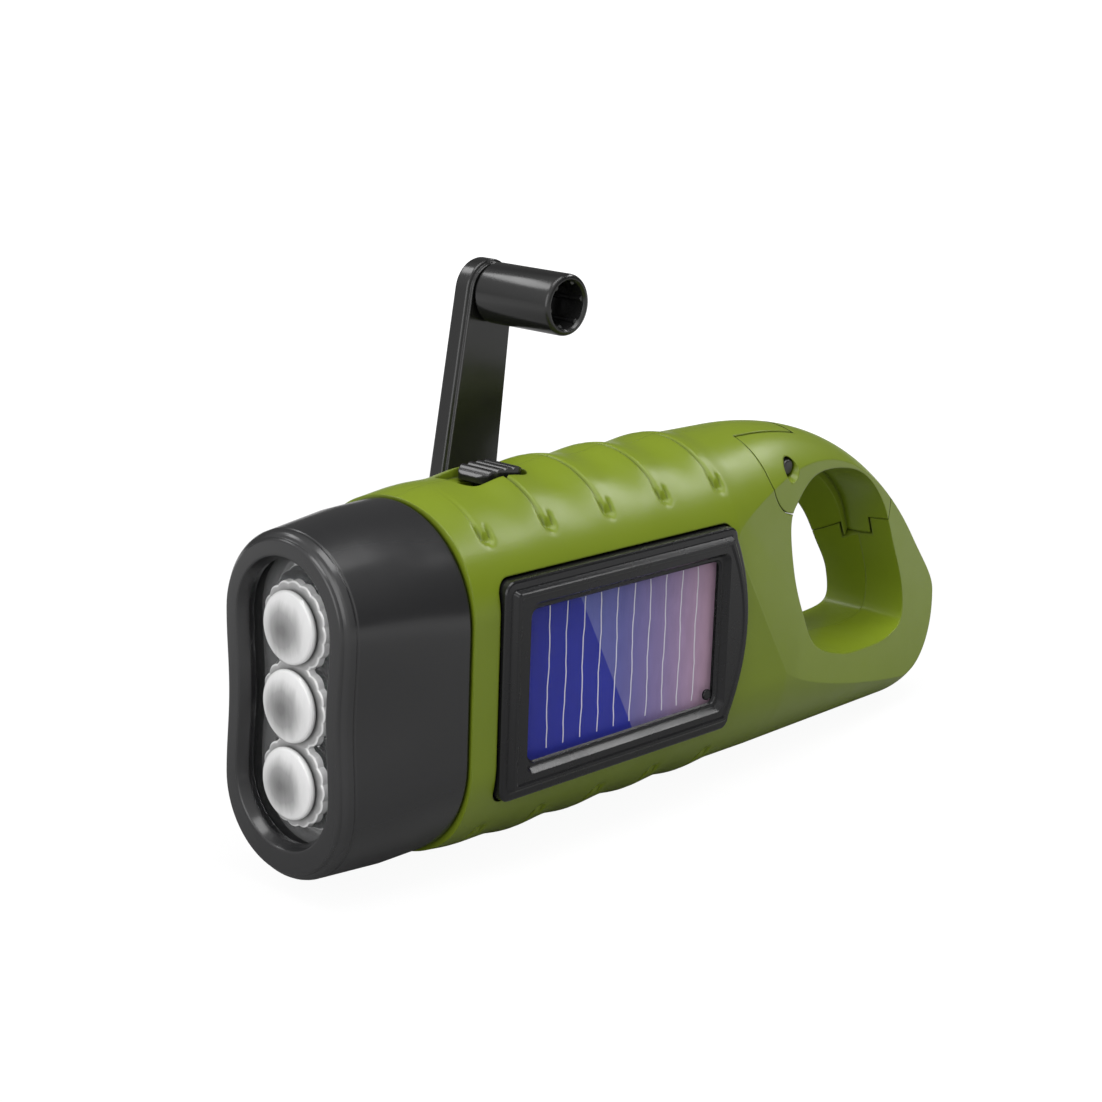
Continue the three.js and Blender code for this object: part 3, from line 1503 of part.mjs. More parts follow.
// Materials
const paint = (color, roughness, metalness = 0) =>
  new THREE.MeshStandardMaterial({ color, roughness, metalness });
const green = paint(0x8ca532, 0.38);
const black = paint(0x2b2b2d, 0.42);
const gloss = paint(0x1c1c1e, 0.22);
const rubber = paint(0x161617, 0.5);
const chrome = paint(0xd9dadc, 0.12, 1);
const steel = paint(0xa9abad, 0.3, 1);
const clear = new THREE.MeshStandardMaterial({
  color: 0xeef3f5,
  roughness: 0.05,
  transparent: true,
  opacity: 0.35,
});
const silicon = paint(0x2b34a0, 0.25);
const fibreglass = paint(0x1f5a32, 0.5);
const nylon = paint(0xe4e1d4, 0.5);
const copper = paint(0xb5652b, 0.35, 0.9);
const iron = paint(0x6f7276, 0.45, 0.9);
const ferrite = paint(0x3a3a3d, 0.6, 0.3);
const wrap = paint(0x2f6fb5, 0.4);

const flashlight = new THREE.Group();
flashlight.name = "hand_crank_flashlight";

function add(name, body, material) {
  const geometry = geometryOf(body).toNonIndexed();
  geometry.computeVertexNormals();
  const mesh = new THREE.Mesh(geometry, material.clone());
  mesh.name = name;
  flashlight.add(mesh);
}

add("panel_side_shell", panelSideShell(), green);
add("crank_side_shell", crankSideShell(), green);
add("head_hood", headHood(), black);
add("lens_window", lensWindow(), clear);
add("reflector", reflector(), chrome);
[-1, 0, 1].forEach((i, n) => add("led_lens_" + (n + 1), shifted(ledLens(), 0, 0, i * lampPitch), clear));
add("led_board", ledBoard(), fibreglass);
add("solar_frame", solarFrame(), gloss);
add("solar_cover", solarCover(), clear);
add("solar_cell", solarCell(), silicon);
add("switch_slider", switchSlider(), rubber);
add("switch_body", switchBody(), iron);
add("main_board", mainBoard(), fibreglass);
add("battery_pack", batteryPack(), wrap);
add("gear_plate", gearPlate(), nylon);
add("idler_axle_1", idlerAxle(firstIdler(), 1), steel);
add("idler_axle_2", idlerAxle(secondIdler(), 0), steel);
add("crank_spindle", crankSpindle(), steel);
add("crank_gear", crankGear(), nylon);
add("idler_gear_1", idlerGear(firstIdler(), 1, firstPinionTurn), nylon);
add("idler_gear_2", idlerGear(secondIdler(), 0, secondPinionTurn), nylon);
add("rotor_shaft", rotorShaft(), steel);
add("rotor_magnet", rotorMagnet(), ferrite);
add("stator_core", statorCore(), iron);
add("stator_coil", statorCoil(), copper);
add("crank_hub", crankHub(), black);
add("hub_screw", hubScrew(), steel);
add("fold_pin", foldPin(), steel);
add("crank_arm", crankArm(), black);
add("knob_axle", knobAxle(), steel);
add("crank_knob", crankKnob(), black);
add("knob_clip", knobClip(), steel);
add("carabiner_gate", carabinerGate(), green);
add("gate_pin", gatePin(), steel);
add("gate_spring", gateSpring(), steel);
screws.forEach(({ x, z, seat, tip }, i) => {
  const screw = screwBody(screwRadius, screwHeadRadius, screwHeadThickness, seat + fitGap / 3, tip);
  add("shell_screw_" + (i + 1), shifted(screw, x, 0, z), steel);
});
postPlaces.forEach(([x, z], i) => {
  const seat = plateY - fitGap / 3;
  const tip = seat + plateThickness + plateScrewDepth - gearWidth;
  const screw = screwBody(plateScrewRadius, plateScrewHeadRadius, plateScrewHead, seat, tip);
  add("plate_screw_" + (i + 1), shifted(screw, x, 0, z), steel);
});

// The origin is under the middle of the box that the whole flashlight fills
const box = new THREE.Box3().setFromObject(flashlight);
const middle = box.getCenter(new THREE.Vector3());
flashlight.children.forEach((mesh) => mesh.position.set(-middle.x, -middle.y, -box.min.z));

export default flashlight;
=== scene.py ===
import json
import math
import bmesh
import bpy
import numpy as np
from mathutils import Matrix, Vector


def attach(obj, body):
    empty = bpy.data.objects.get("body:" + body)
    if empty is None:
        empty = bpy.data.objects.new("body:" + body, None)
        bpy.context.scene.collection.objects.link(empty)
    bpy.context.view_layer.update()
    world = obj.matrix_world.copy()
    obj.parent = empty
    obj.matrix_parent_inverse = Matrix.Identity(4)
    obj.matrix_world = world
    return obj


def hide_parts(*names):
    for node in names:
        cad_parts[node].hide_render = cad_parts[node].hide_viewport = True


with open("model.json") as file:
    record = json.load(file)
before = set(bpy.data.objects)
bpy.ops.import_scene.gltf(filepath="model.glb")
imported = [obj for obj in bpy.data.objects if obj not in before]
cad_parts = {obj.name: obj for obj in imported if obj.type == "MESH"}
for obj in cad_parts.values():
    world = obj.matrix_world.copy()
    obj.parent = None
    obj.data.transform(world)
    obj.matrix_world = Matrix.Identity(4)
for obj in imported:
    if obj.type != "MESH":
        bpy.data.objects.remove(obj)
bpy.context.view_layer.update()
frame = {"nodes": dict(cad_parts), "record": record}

# Places are millimetres in a drawing: X from the lamp face to the tail, -Y the panel side, Z up.
# SHIFT is where the drawing's origin lies in the frame.
MM = 0.001
SHIFT = np.array([-65.3, -9.375, 23.896])
rad = math.radians

# Body
START, TAIL, END = 17.8, 80.0, 130.6
TOP, BOTTOM, HALF, WALL = 23.5, -23.3, 14.2, 1.9
FACET_X, FACET_TURN, FACET_SLOPE, FACET_ROUND = 74.0, rad(32), 0.227, 0.35
RIB_FIRST, RIB_PITCH, RIB_COUNT, RIB_HEIGHT, FIRST_RIB_SHARE = 22.3, 10.95, 5, 0.6, 0.5
RIB_SPREAD, CREASE_SPREAD, CREASE_FADE = rad(60), rad(50), rad(5)
CREASE_DEPTH, BOWL_DEPTH, PRONG_DEPTH, STEM_DEPTH = 0.16, 0.55, 0.4, 0.5
# Stations beside each crease, measured from the middle of its rib
CREASE_PLACES = [-1.6, -1.2, -0.9, -0.6, -0.42, -0.32, -0.26, -0.2, -0.14, -0.08, 0.0, 0.08, 0.16, 0.26,
                 0.38, 0.5, 0.65, 0.8, 0.95, 1.1, 1.25, 1.4, 1.55, 1.7, 1.85, 2.0, 2.2, 2.5, 2.8, 3.2]
FRONT_FALL, FRONT_FALL_LENGTH = 0.9, 16.0
NOSE_Z, NOSE_RADIUS, NOSE_EDGE = -8.3, 15.0, 0.95

# How far a tool reaches past what it cuts, the gap between fixed pieces and the gap between moving ones
OVER, GAP, RUN = 2.0, 0.3, 0.35

# Carabiner opening, as shares of its box on each side, and gate
tail = lambda share: TAIL + share * (END - TAIL)
HOLE_FRONT, HOLE_REAR, HOLE_TOP, HOLE_BOTTOM = tail(0.065), tail(0.761), 16.5, -11.9
HOLE_DRAFT, HOLE_FAR_Y, HOLE_STEPS = 0.5, 0.5 * HALF, 180
HOLE_BOTH = [(0, 0.82), (0.006, 0.556), (0.068, 0.34), (0.147, 0.176), (0.374, 0.056), (0.612, 0.014)]
HOLE_NEAR = HOLE_BOTH + [
    (0.84, 0.007), (0.97, 0.06), (0.99, 0.22), (0.92, 0.47),
    (0.83, 0.72), (0.666, 0.898), (0.43, 0.982), (0.2, 0.985), (0.06, 0.895),
]
HOLE_FAR = HOLE_BOTH + [
    (0.847, 0.014), (0.96, 0.07), (0.935, 0.243), (0.84, 0.43),
    (0.725, 0.627), (0.56, 0.81), (0.38, 0.91), (0.2, 0.94), (0.06, 0.88),
]
PIN_X, PIN_Z, PIN_RADIUS, PIN_HALF = tail(0.082), 18.4, 1.1, 9.1
PIN_SINK = [(1.3, 8.6), (1.95, 10.2), (2.6, 12.5)]
SPRING_RADIUS, SPRING_INSIDE, SPRING_WIRE, SPRING_LENGTH = 2.65, 1.25, 0.7, 3.25 * 0.85
EYE_RADIUS, GATE_END_TURN, GATE_SEAT_TURN = 6.3, rad(35), rad(300)
GATE_REACH = HOLE_REAR - PIN_X - 1.7
GATE_GAP, TONGUE_RADIUS, TONGUE_HALF = 0.16, 7.5, 0.282 * HALF
LATCH_HALF, LATCH_LENGTH, LATCH_TURN = 2.2, 1.8, rad(17)
# How far the latch, its pocket and the spring's pocket stay below the surface
LATCH_SKIN, LATCH_POCKET_SKIN, SPRING_SKIN = 0.85, 0.5, 0.4


# Closed meshes that are joined and cut

# A new object in the scene
def added(name, data):
    made = bpy.data.objects.new(name, data)
    bpy.context.scene.collection.objects.link(made)
    return made


def solid(name, points, faces):
    mesh = bpy.data.meshes.new(name)
    mesh.from_pydata((np.asarray(points) + SHIFT) * MM, [], faces)
    mesh.validate()
    return outward(added(name, mesh))


def coordinates(mesh):
    points = np.empty(len(mesh.vertices) * 3)
    mesh.vertices.foreach_get("co", points)
    return points.reshape(-1, 3)


# Turns the faces outwards, judged by the sign of the volume
def outward(made):
    mesh = made.data
    mesh.calc_loop_triangles()
    corners = np.empty(len(mesh.loop_triangles) * 3, dtype=np.int64)
    mesh.loop_triangles.foreach_get("vertices", corners)
    a, b, c = coordinates(mesh)[corners.reshape(-1, 3)].transpose(1, 0, 2)
    if np.einsum("ij,ij->i", a, np.cross(b, c)).sum() < 0:
        mesh.flip_normals()
    return made


# Closed rings with the same number of points, skinned in order and closed by flat ends or fans
def loft(name, rings, fan=False):
    rings = np.asarray(rings, dtype=float)
    layers, count = rings.shape[:2]
    last = (layers - 1) * count
    near = np.arange(count)
    after = np.roll(near, -1)
    faces = []
    for low in range(0, last, count):
        high = low + count
        faces += np.stack([low + near, low + after, high + after, high + near], axis=1).tolist()
    points = rings.reshape(-1, 3)
    if fan:
        points = np.vstack([points, rings[0].mean(axis=0), rings[-1].mean(axis=0)])
        first = layers * count
        faces += np.stack([np.full(count, first), after, near], axis=1).tolist()
        faces += np.stack([np.full(count, first + 1), last + near, last + after], axis=1).tolist()
    else:
        faces += [near[::-1].tolist(), (last + near).tolist()]
    return solid(name, points, faces)


# A piece with its modifiers applied
def evaluated(made):
    graph = bpy.context.evaluated_depsgraph_get()
    mesh = bpy.data.meshes.new_from_object(made.evaluated_get(graph), depsgraph=graph)
    made.modifiers.clear()
    old, made.data = made.data, mesh
    bpy.data.meshes.remove(old)
    return made


def boolean(made, way, *tools):
    for tool in tools:
        step = made.modifiers.new("step", "BOOLEAN")
        step.solver, step.operation, step.object = "MANIFOLD", way, tool
    evaluated(made)
    for tool in tools:
        bpy.data.objects.remove(tool)
    return made


cut = lambda made, *tools: boolean(made, "DIFFERENCE", *tools)
join = lambda made, *tools: boolean(made, "UNION", *tools)
common = lambda made, *tools: boolean(made, "INTERSECT", *tools)


def copied(made):
    return added("copy", made.data.copy())


def block(x0, x1, y0, y1, z0, z1):
    return loft("block", [[(x, y0, z0), (x, y1, z0), (x, y1, z1), (x, y0, z1)] for x in (x0, x1)])


# An outline of (x, z) pushed along Y
def prism(outline, low, high):
    return loft("prism", [[(x, y, z) for x, z in outline] for y in (low, high)])


def arc(cx, cz, radius, start, end, steps=48):
    turns = np.linspace(start, end, steps)
    return [(cx + radius * math.cos(t), cz + radius * math.sin(t)) for t in turns]


def bar(radius, y0, y1, x, z, steps=64):
    return prism(arc(x, z, radius, 0, 2 * math.pi * (1 - 1 / steps), steps), y0, y1)


# A piece turned about an axis along Y through (x, z), from a list of radius and y
def turned(name, profile, x, z, steps=96):
    turns = np.arange(steps) * 2 * math.pi / steps
    return loft(name, [[(x + r * math.cos(t), y, z + r * math.sin(t)) for t in turns] for r, y in profile])


# A profile with its corners rounded
def eased(profile, radius, steps=6):
    made = [profile[0]]
    for before, at, after in zip(profile, profile[1:], profile[2:]):
        before, at, after = map(np.array, (before, at, after))
        into, out = at - before, after - at
        reach = min(radius, np.linalg.norm(into) / 2.2, np.linalg.norm(out) / 2.2)
        p = at - into / np.linalg.norm(into) * reach
        q = at + out / np.linalg.norm(out) * reach
        for t in np.linspace(0, 1, steps):
            made.append(tuple((1 - t) ** 2 * p + 2 * t * (1 - t) * at + t * t * q))
    return made + [profile[-1]]


# The profile of a plain turned piece with rounded edges
def rod(radius, y0, y1, rounding):
    return eased([(0.01, y0), (radius, y0), (radius, y1), (0.01, y1)], rounding)


# The body's form

# Half the thickness at a point of the side view, less where the tail's facets cut the edge
def edge_radius(x, z, nx, nz):
    towards = nx * math.cos(FACET_TURN) + nz * math.sin(FACET_TURN)
    along = (x - FACET_X) * math.cos(FACET_TURN) + z * math.sin(FACET_TURN)
    flush = min(HALF, (HALF - FACET_SLOPE * along) / (1 + FACET_SLOPE * towards))
    return flush + FACET_ROUND * (HALF - flush)


# The ribs' height, less what the body falls towards the head
def rib_wave(x):
    turns = (x - RIB_FIRST) / RIB_PITCH
    inside = -0.5 <= turns <= RIB_COUNT - 0.5
    height = RIB_HEIGHT * (FIRST_RIB_SHARE if turns < 0.5 else 1.0)
    rib = height * (1 + math.cos(2 * math.pi * turns)) / 2 if inside else 0.0
    return rib - FRONT_FALL * max(0.0, 1 - (x - START) / FRONT_FALL_LENGTH) ** 2


# Points and directions along a cubic curve, without its start
def bezier(a, b, c, d, steps):
    for t in (np.arange(steps) + 1) / steps:
        at = (1 - t) ** 3 * a + 3 * t * (1 - t) ** 2 * b + 3 * t * t * (1 - t) * c + t ** 3 * d
        along = (1 - t) ** 2 * (b - a) + 2 * t * (1 - t) * (c - b) + t * t * (d - c)
        yield at, along / np.linalg.norm(along)


# Stations round the side view: x, z, the direction inwards, edge radius, wave of the ribs
def stations(fine):
    rows = []

    def add(x, z, nx, nz, limit=HALF):
        rows.append((x, z, nx, nz, min(edge_radius(x, z, nx, nz), limit), rib_wave(x)))

    v = lambda x, z: np.array([x, z])
    straight = list(np.linspace(START, TAIL, 40 * fine))
    for i in range(RIB_COUNT if fine > 1 else 0):
        straight += list(RIB_FIRST + i * RIB_PITCH + np.array(CREASE_PLACES))
    straight = sorted(x for x in set(np.round(straight, 3)) if START <= x <= TAIL)
    nose_limit = NOSE_RADIUS * NOSE_EDGE
    for x in straight:
        add(x, TOP, 0, -1)
    steep = v(tail(0.866), 1.9)
    for at, way in bezier(v(TAIL, TOP), v(tail(0.393), TOP), v(tail(0.679), 13.9), steep, 48 * fine):
        add(*at, way[1], -way[0])
    for at, way in bezier(steep, v(tail(0.9375), -2.6), v(END, -5.4), v(END, NOSE_Z), 12 * fine):
        add(*at, way[1], -way[0], nose_limit)
    nose_x, nose_bottom = END - NOSE_RADIUS, NOSE_Z - NOSE_RADIUS
    for turn in np.linspace(0, math.pi / 2, 16 * fine + 1)[1:]:
        nx, nz = -math.cos(turn), math.sin(turn)
        add(nose_x - NOSE_RADIUS * nx, NOSE_Z - NOSE_RADIUS * nz, nx, nz, nose_limit)
    for share in np.linspace(1, 0, 20 * fine + 1)[1:-1]:
        x = TAIL + (nose_x - TAIL) * share
        z = BOTTOM + (nose_bottom - BOTTOM) * share
        add(x, z, 0, 1, nose_limit * (2 - share) if share > 0.5 else HALF)
    for x in reversed(straight):
        add(x, BOTTOM, 0, 1)
    return np.array(rows)


def ease(t):
    t = np.clip(t, 0, 1)
    return t * t * (3 - 2 * t)


# A groove runs down each rib, steep in front and easy behind. It ends in a bowl with a prong and a stem.
def crease_depth(x, turn, wave):
    fade_end = ease((CREASE_SPREAD - turn) / CREASE_FADE)
    past_end = (turn - CREASE_SPREAD) * HALF
    prong_fade = ease((past_end + 2.6) / 1.6), ease((0.5 - past_end) / 0.8)
    stem_fade = ease((past_end + 3.2) / 2.0), ease((0.4 - past_end) / 0.9)
    depth = np.zeros_like(x)
    for i in range(RIB_COUNT):
        dx = x - (RIB_FIRST + i * RIB_PITCH)
        front = ease((dx + 0.26) / 0.22)
        behind = 1 - ease((dx + 0.02) / 0.75)
        groove = np.where(dx < -0.04, front, behind) * fade_end * (wave + CREASE_DEPTH)
        bowl = BOWL_DEPTH * np.exp(-(((dx - 0.75) / 0.7) ** 2 + ((past_end + 0.2) / 0.75) ** 2))
        prong = PRONG_DEPTH * np.exp(-(((dx - 1.45 + 0.12 * past_end) / 0.26) ** 2))
        prong = prong * prong_fade[0] * prong_fade[1]
        stem = STEM_DEPTH * np.exp(-((dx - 0.05) / 0.33) ** 2) * stem_fade[0] * stem_fade[1]
        here = (dx > CREASE_PLACES[0] - 0.1) & (dx < CREASE_PLACES[-1] + 0.1)
        depth = np.maximum(depth, np.where(here, np.maximum.reduce([groove, bowl, prong, stem]), 0))
    return depth


# The body's whole form or its half on the +Y side, drawn in by an inset. Only a fine one has the creases.
def pillow(inset=0.0, fine=3, both=False, ribbed=True):
    s = stations(fine)
    x, z, nx, nz, radius, wave = s.T
    steps = 30 * fine if fine > 1 else 24
    quarter = np.linspace(0, math.pi / 2, steps + 1)
    turns = np.concatenate([-quarter[:0:-1], quarter]) if both else quarter
    rings = []
    for turn in turns:
        fade = max(0.0, 1 - (turn / RIB_SPREAD) ** 2) ** 2
        swell = wave * fade if ribbed else 0 * wave
        if ribbed and fine > 1:
            on_body = (np.abs(nx) < 0.01) & (x < TAIL)
            swell = swell - np.where(on_body, crease_depth(x, abs(turn), wave * fade), 0)
        raised = radius - inset + swell
        depth = radius - raised * math.cos(turn)
        rings.append(np.stack([x + nx * depth, raised * math.sin(turn), z + nz * depth], axis=1))
    flat = lambda ring, y: np.stack([ring[:, 0], np.full(len(ring), y), ring[:, 2]], axis=1)
    rings.append(flat(rings[-1], HALF + OVER))
    if both:
        rings.insert(0, flat(rings[0], -HALF - OVER))
    made = loft("pillow", rings, fan=True)
    common(made, wedge(inset))
    return common(made, mirrored(wedge(inset))) if both else made


# What the tail's facet on the +Y side leaves
def wedge(inset):
    far, side = END, HALF - inset
    outline = [(-far, -far), (far, -far), (far, side - FACET_SLOPE * far), (0, side), (-far, side)]
    c, s = math.cos(FACET_TURN), math.sin(FACET_TURN)
    ring = lambda w: [(FACET_X + u * c - w * s, v, u * s + w * c) for u, v in outline]
    return loft("wedge", [ring(-far), ring(far)])


# The same piece on the other side of the middle plane
def mirrored(made):
    mesh = made.data
    points = coordinates(mesh)
    points[:, 1] = 2 * SHIFT[1] * MM - points[:, 1]
    mesh.vertices.foreach_set("co", points.ravel())
    mesh.flip_normals()
    mesh.update()
    return made


# Smooth closed curve through shares of the opening's box, grown outwards
def hole_outline(shares, grow):
    width, height = HOLE_REAR - HOLE_FRONT, HOLE_TOP - HOLE_BOTTOM
    p = np.array([(HOLE_FRONT + u * width, HOLE_BOTTOM + v * height) for u, v in shares])
    n = len(p)

    def at(t):
        i = int(t * n) % n
        w = t * n - int(t * n)
        a, b, c, d = p[i - 1], p[i], p[(i + 1) % n], p[(i + 2) % n]
        da, db, dc = (max(np.linalg.norm(q), 1e-4) ** 0.5 for q in (b - a, c - b, d - c))
        m1 = ((b - a) / da - (c - a) / (da + db) + (c - b) / db) * db
        m2 = ((c - b) / db - (d - b) / (db + dc) + (d - c) / dc) * db
        return b + m1 * w + (3 * (c - b) - 2 * m1 - m2) * w * w + (2 * (b - c) + m1 + m2) * w ** 3

    made = []
    for k in range(HOLE_STEPS):
        here = at(k / HOLE_STEPS)
        way = at((k + 0.01) / HOLE_STEPS) - here
        way /= np.linalg.norm(way)
        made.append((here[0] + way[1] * grow, here[1] - way[0] * grow))
    return made


# The opening on the +Y side of the middle plane, with the outline of either side
def hole_tool(grow, far):
    ring = lambda y, g, shares: [(x, y, z) for x, z in hole_outline(shares, g)]
    outer = HOLE_FAR if far else HOLE_NEAR
    middle = grow - HOLE_DRAFT
    return loft("hole", [
        ring(-OVER, middle, HOLE_NEAR), ring(0, middle, HOLE_NEAR),
        ring(HOLE_FAR_Y, grow, outer), ring(HALF + OVER, grow + HOLE_DRAFT, outer),
    ])


# What the gate, its tongue and its latch take up, grown by a gap
def gate_tool(grow, end_grow, low=-HALF - OVER, high=HALF + OVER):
    left, reach = PIN_X - EYE_RADIUS - grow, GATE_REACH + end_grow
    outline = [(left, TOP + 2 * OVER), *arc(PIN_X, PIN_Z, EYE_RADIUS + grow, math.pi, GATE_SEAT_TURN)]
    outline += arc(PIN_X, PIN_Z, reach, -GATE_END_TURN, 0) + [(PIN_X + reach, TOP + 2 * OVER)]
    return prism(outline, low, high)


def tongue_tool(grow, half):
    left, high = PIN_X - EYE_RADIUS - 2 * GAP, TOP + OVER
    round_end = bar(TONGUE_RADIUS + grow, -half, half, PIN_X, PIN_Z)
    return join(round_end, block(left, PIN_X, -half, half, PIN_Z, high))


def latch_tool(grow):
    start, end = -GATE_END_TURN, -LATCH_TURN + grow / GATE_REACH
    outer = arc(PIN_X, PIN_Z, GATE_REACH + LATCH_LENGTH + grow, start, end)
    inner = arc(PIN_X, PIN_Z, GATE_REACH - LATCH_LENGTH, end, start)
    return prism(outer + inner, -LATCH_HALF - grow, LATCH_HALF + grow)


# An outline of (x, y) pushed along Z
def slab(outline, low, high):
    return loft("slab", [[(x, y, z) for x, y in outline] for z in (low, high)])


def rounded_box(x0, x1, half, corner, steps=14):
    left, right, side = x0 + corner, x1 - corner, half - corner
    outline = []
    for i, (x, y) in enumerate([(right, side), (left, side), (left, -side), (right, -side)]):
        outline += arc(x, y, corner, i * math.pi / 2, (i + 1) * math.pi / 2, steps)
    return outline


# A copy of a node's own solid as a closed mesh that can be cut, on the +Y side
def node_copy(name, flip=False):
    source = frame["nodes"][name]
    made = copied(source)
    made.matrix_world = source.matrix_world
    mesh = bmesh.new()
    mesh.from_mesh(made.data)
    bmesh.ops.remove_doubles(mesh, verts=mesh.verts, dist=1e-7)
    mesh.to_mesh(made.data)
    mesh.free()
    return mirrored(made) if flip else made


# Switch pocket and slot
SWITCH_FRONT, POCKET_LENGTH, POCKET_HALF, POCKET_CORNER, POCKET_DEPTH = 26.9, 11.6, 3.5, 2.0, 1.2
SLIDER_LENGTH, SLIDER_HALF, SLIDER_CORNER, SLIDER_RISE, SLIDER_TRAVEL = 7.6, 2.7, 1.5, 1.5, 3.0
SLIDER_START = SWITCH_FRONT + SLIDER_TRAVEL + (POCKET_LENGTH - SLIDER_LENGTH - SLIDER_TRAVEL) / 2
STEM_LENGTH, STEM_HALF = 3.0, 1.1
STEM_START = SLIDER_START + (SLIDER_LENGTH - STEM_LENGTH) / 2


def switch_cut():
    floor, half = TOP - POCKET_DEPTH, STEM_HALF + RUN
    plan = rounded_box(SWITCH_FRONT, SWITCH_FRONT + POCKET_LENGTH, POCKET_HALF, POCKET_CORNER)
    pocket = slab(plan, floor, TOP + 2 * OVER)
    start, end = STEM_START - SLIDER_TRAVEL - RUN, STEM_START + STEM_LENGTH + RUN
    return join(pocket, block(start, end, -half, half, floor - 2 * WALL, TOP))


# Solar panel's outlines, with the frame's rear edge bowed
FRAME_FRONT, FRAME_REAR, FRAME_HALF, FRAME_CORNER, FRAME_BOW = 22.4, 66.6, 14.0, 1.6, 3.2
FRAME_BACK = HALF - 2.3
CELL_FRONT, CELL_REAR, CELL_HALF, CELL_LAP = 28.5, 63.0, 9.4, 1.1
WINDOW_FRONT = CELL_FRONT - 0.8
COVER_FACE, COVER_THICKNESS, CELL_THICKNESS = HALF - 0.2, 0.7, 0.85
CELL_TOP = COVER_FACE - COVER_THICKNESS - 0.05
LINE_FIRST, LINE_PITCH, LINE_COUNT, LINE_HALF = 31.9, 3.16, 10, 0.085
STUD_RADIUS = 0.75


def frame_ring(inset, y):
    corner = max(FRAME_CORNER - inset, FRAME_CORNER / 4)
    right, half = FRAME_REAR - inset, FRAME_HALF - inset
    outline = rounded_box(FRAME_FRONT + inset, right, half, corner)
    start, end = corner - half, half - corner
    for t in np.linspace(0, 1, 25)[1:-1]:
        outline.append((right + 4 * FRAME_BOW * t * (1 - t), start + (end - start) * t))
    return [(x, y, z) for x, z in outline]


# Keeps a tool's cut below the outer surface
def under_skin(tool, depth):
    return common(tool, pillow(depth, 1, both=True, ribbed=False))


# What both shells have, made on the +Y side
def plain_half(far):
    outer = pillow()
    tongue = common(copied(outer), tongue_tool(0, TONGUE_HALF))
    cut(outer, gate_tool(0, 0, -OVER), under_skin(latch_tool(RUN), LATCH_POCKET_SKIN))
    join(outer, tongue)
    pin_bore = bar(PIN_RADIUS + GAP, -OVER, HALF + OVER, PIN_X, PIN_Z)
    return cut(outer, hole_tool(0, far), pin_bore, switch_cut())


# The rooms inside a shell, from the solid that it stands for
def rooms(shell, far, *more):
    core = pillow(WALL / 2, 1, ribbed=False)
    if more:
        join(core, *more)
    return cut(core, copied(shell), hole_tool(WALL / 2, far), gate_tool(WALL / 2, WALL / 2, -OVER))


# Adds the solid's own lip, which the hood goes over
def with_lip(outer, shell):
    return join(outer, common(shell, block(START - 3, START + 0.05, -OVER, HALF, BOTTOM, TOP)))


def panel_side_shell():
    shell = node_copy("panel_side_shell", flip=True)
    outer = cut(plain_half(False), rooms(shell, False))
    pocket = loft("pocket", [frame_ring(-GAP, FRAME_BACK - GAP), frame_ring(-GAP, HALF + OVER)])
    return mirrored(with_lip(cut(outer, pocket), shell))


# The crank's round seat as radius and y, its axle, and the screw holes as x, z and the y of their floors
CRANK_X, CRANK_Z, SEAT_TOP, SEAT_WALL, SEAT_ROOF = 59.0, 0.0, HALF + 5.4, 1.05, 0.95
SEAT = [(18.8, HALF - 6.2), (16.8, HALF), (13.2, SEAT_TOP - 1.2), (12.0, SEAT_TOP)]
SPINDLE_RADIUS, SCREW_HOLE = 2.4, 2.3
SCREWS = [(22.9, 16.0, 8.5), (22.9, -17.0, 8.5), (76.5, -14.0, 8.5), (tail(0.825), -15.0, 0.183 * HALF)]


def crank_side_shell():
    shell = node_copy("crank_side_shell")
    seat = turned("seat", eased(SEAT, 1.6, 8), CRANK_X, CRANK_Z, 128)
    inside = [(r - SEAT_WALL, y - (0 if y < HALF else SEAT_ROOF)) for r, y in SEAT]
    core = turned("core", inside, CRANK_X, CRANK_Z)
    outer = cut(join(plain_half(True), seat), rooms(shell, True, core))
    holes = [bar(SCREW_HOLE, y, HALF + OVER, x, z) for x, z, y in SCREWS]
    bearing = bar(SPINDLE_RADIUS + RUN, HALF - 3, SEAT_TOP + OVER, CRANK_X, CRANK_Z)
    return with_lip(cut(outer, *holes, bearing), shell)


def carabiner_gate():
    form = pillow(both=True)
    nose = under_skin(latch_tool(0), LATCH_SKIN)
    body = join(common(form, gate_tool(-GATE_GAP, -GATE_GAP)), nose)
    half, wires = TONGUE_HALF + RUN, 2 * SPRING_WIRE
    spring_top = half + SPRING_LENGTH + wires
    leg = block(PIN_X - SPRING_RADIUS, PIN_X - SPRING_INSIDE, 0, spring_top + wires,
                PIN_Z - SPRING_WIRE, PIN_Z + SPRING_WIRE)
    pocket = under_skin(join(bar(SPRING_RADIUS, 0, spring_top, PIN_X, PIN_Z), leg), SPRING_SKIN)
    bore = bar(PIN_RADIUS + RUN, -HALF - OVER, HALF + OVER, PIN_X, PIN_Z)
    sinks = [turned("sink", [(r, side * y) for r, y in PIN_SINK], PIN_X, PIN_Z) for side in (1, -1)]
    opening = hole_tool(0, True), mirrored(hole_tool(0, False))
    return cut(body, *opening, tongue_tool(RUN, half), bore, pocket, *sinks)


# A ring across X with round ends and drawn-in sides
def stadium_ring(x, half, top, bottom, waist):
    arcs, sides = 40, 24
    high, low = top - half, bottom + half

    def cap(z, start):
        turns = np.linspace(start, start + math.pi, arcs + 1)
        return [(x, half * math.cos(t), z + half * math.sin(t)) for t in turns]

    dips = [waist * (1 - math.cos(2 * math.pi * i / sides)) / 2 for i in range(1, sides)]
    down = [(x, d - half, high + (low - high) * (i + 1) / sides) for i, d in enumerate(dips)]
    up = [(x, half - d, low + (high - low) * (i + 1) / sides) for i, d in enumerate(dips)]
    return cap(high, 0) + down + cap(low, math.pi) + up


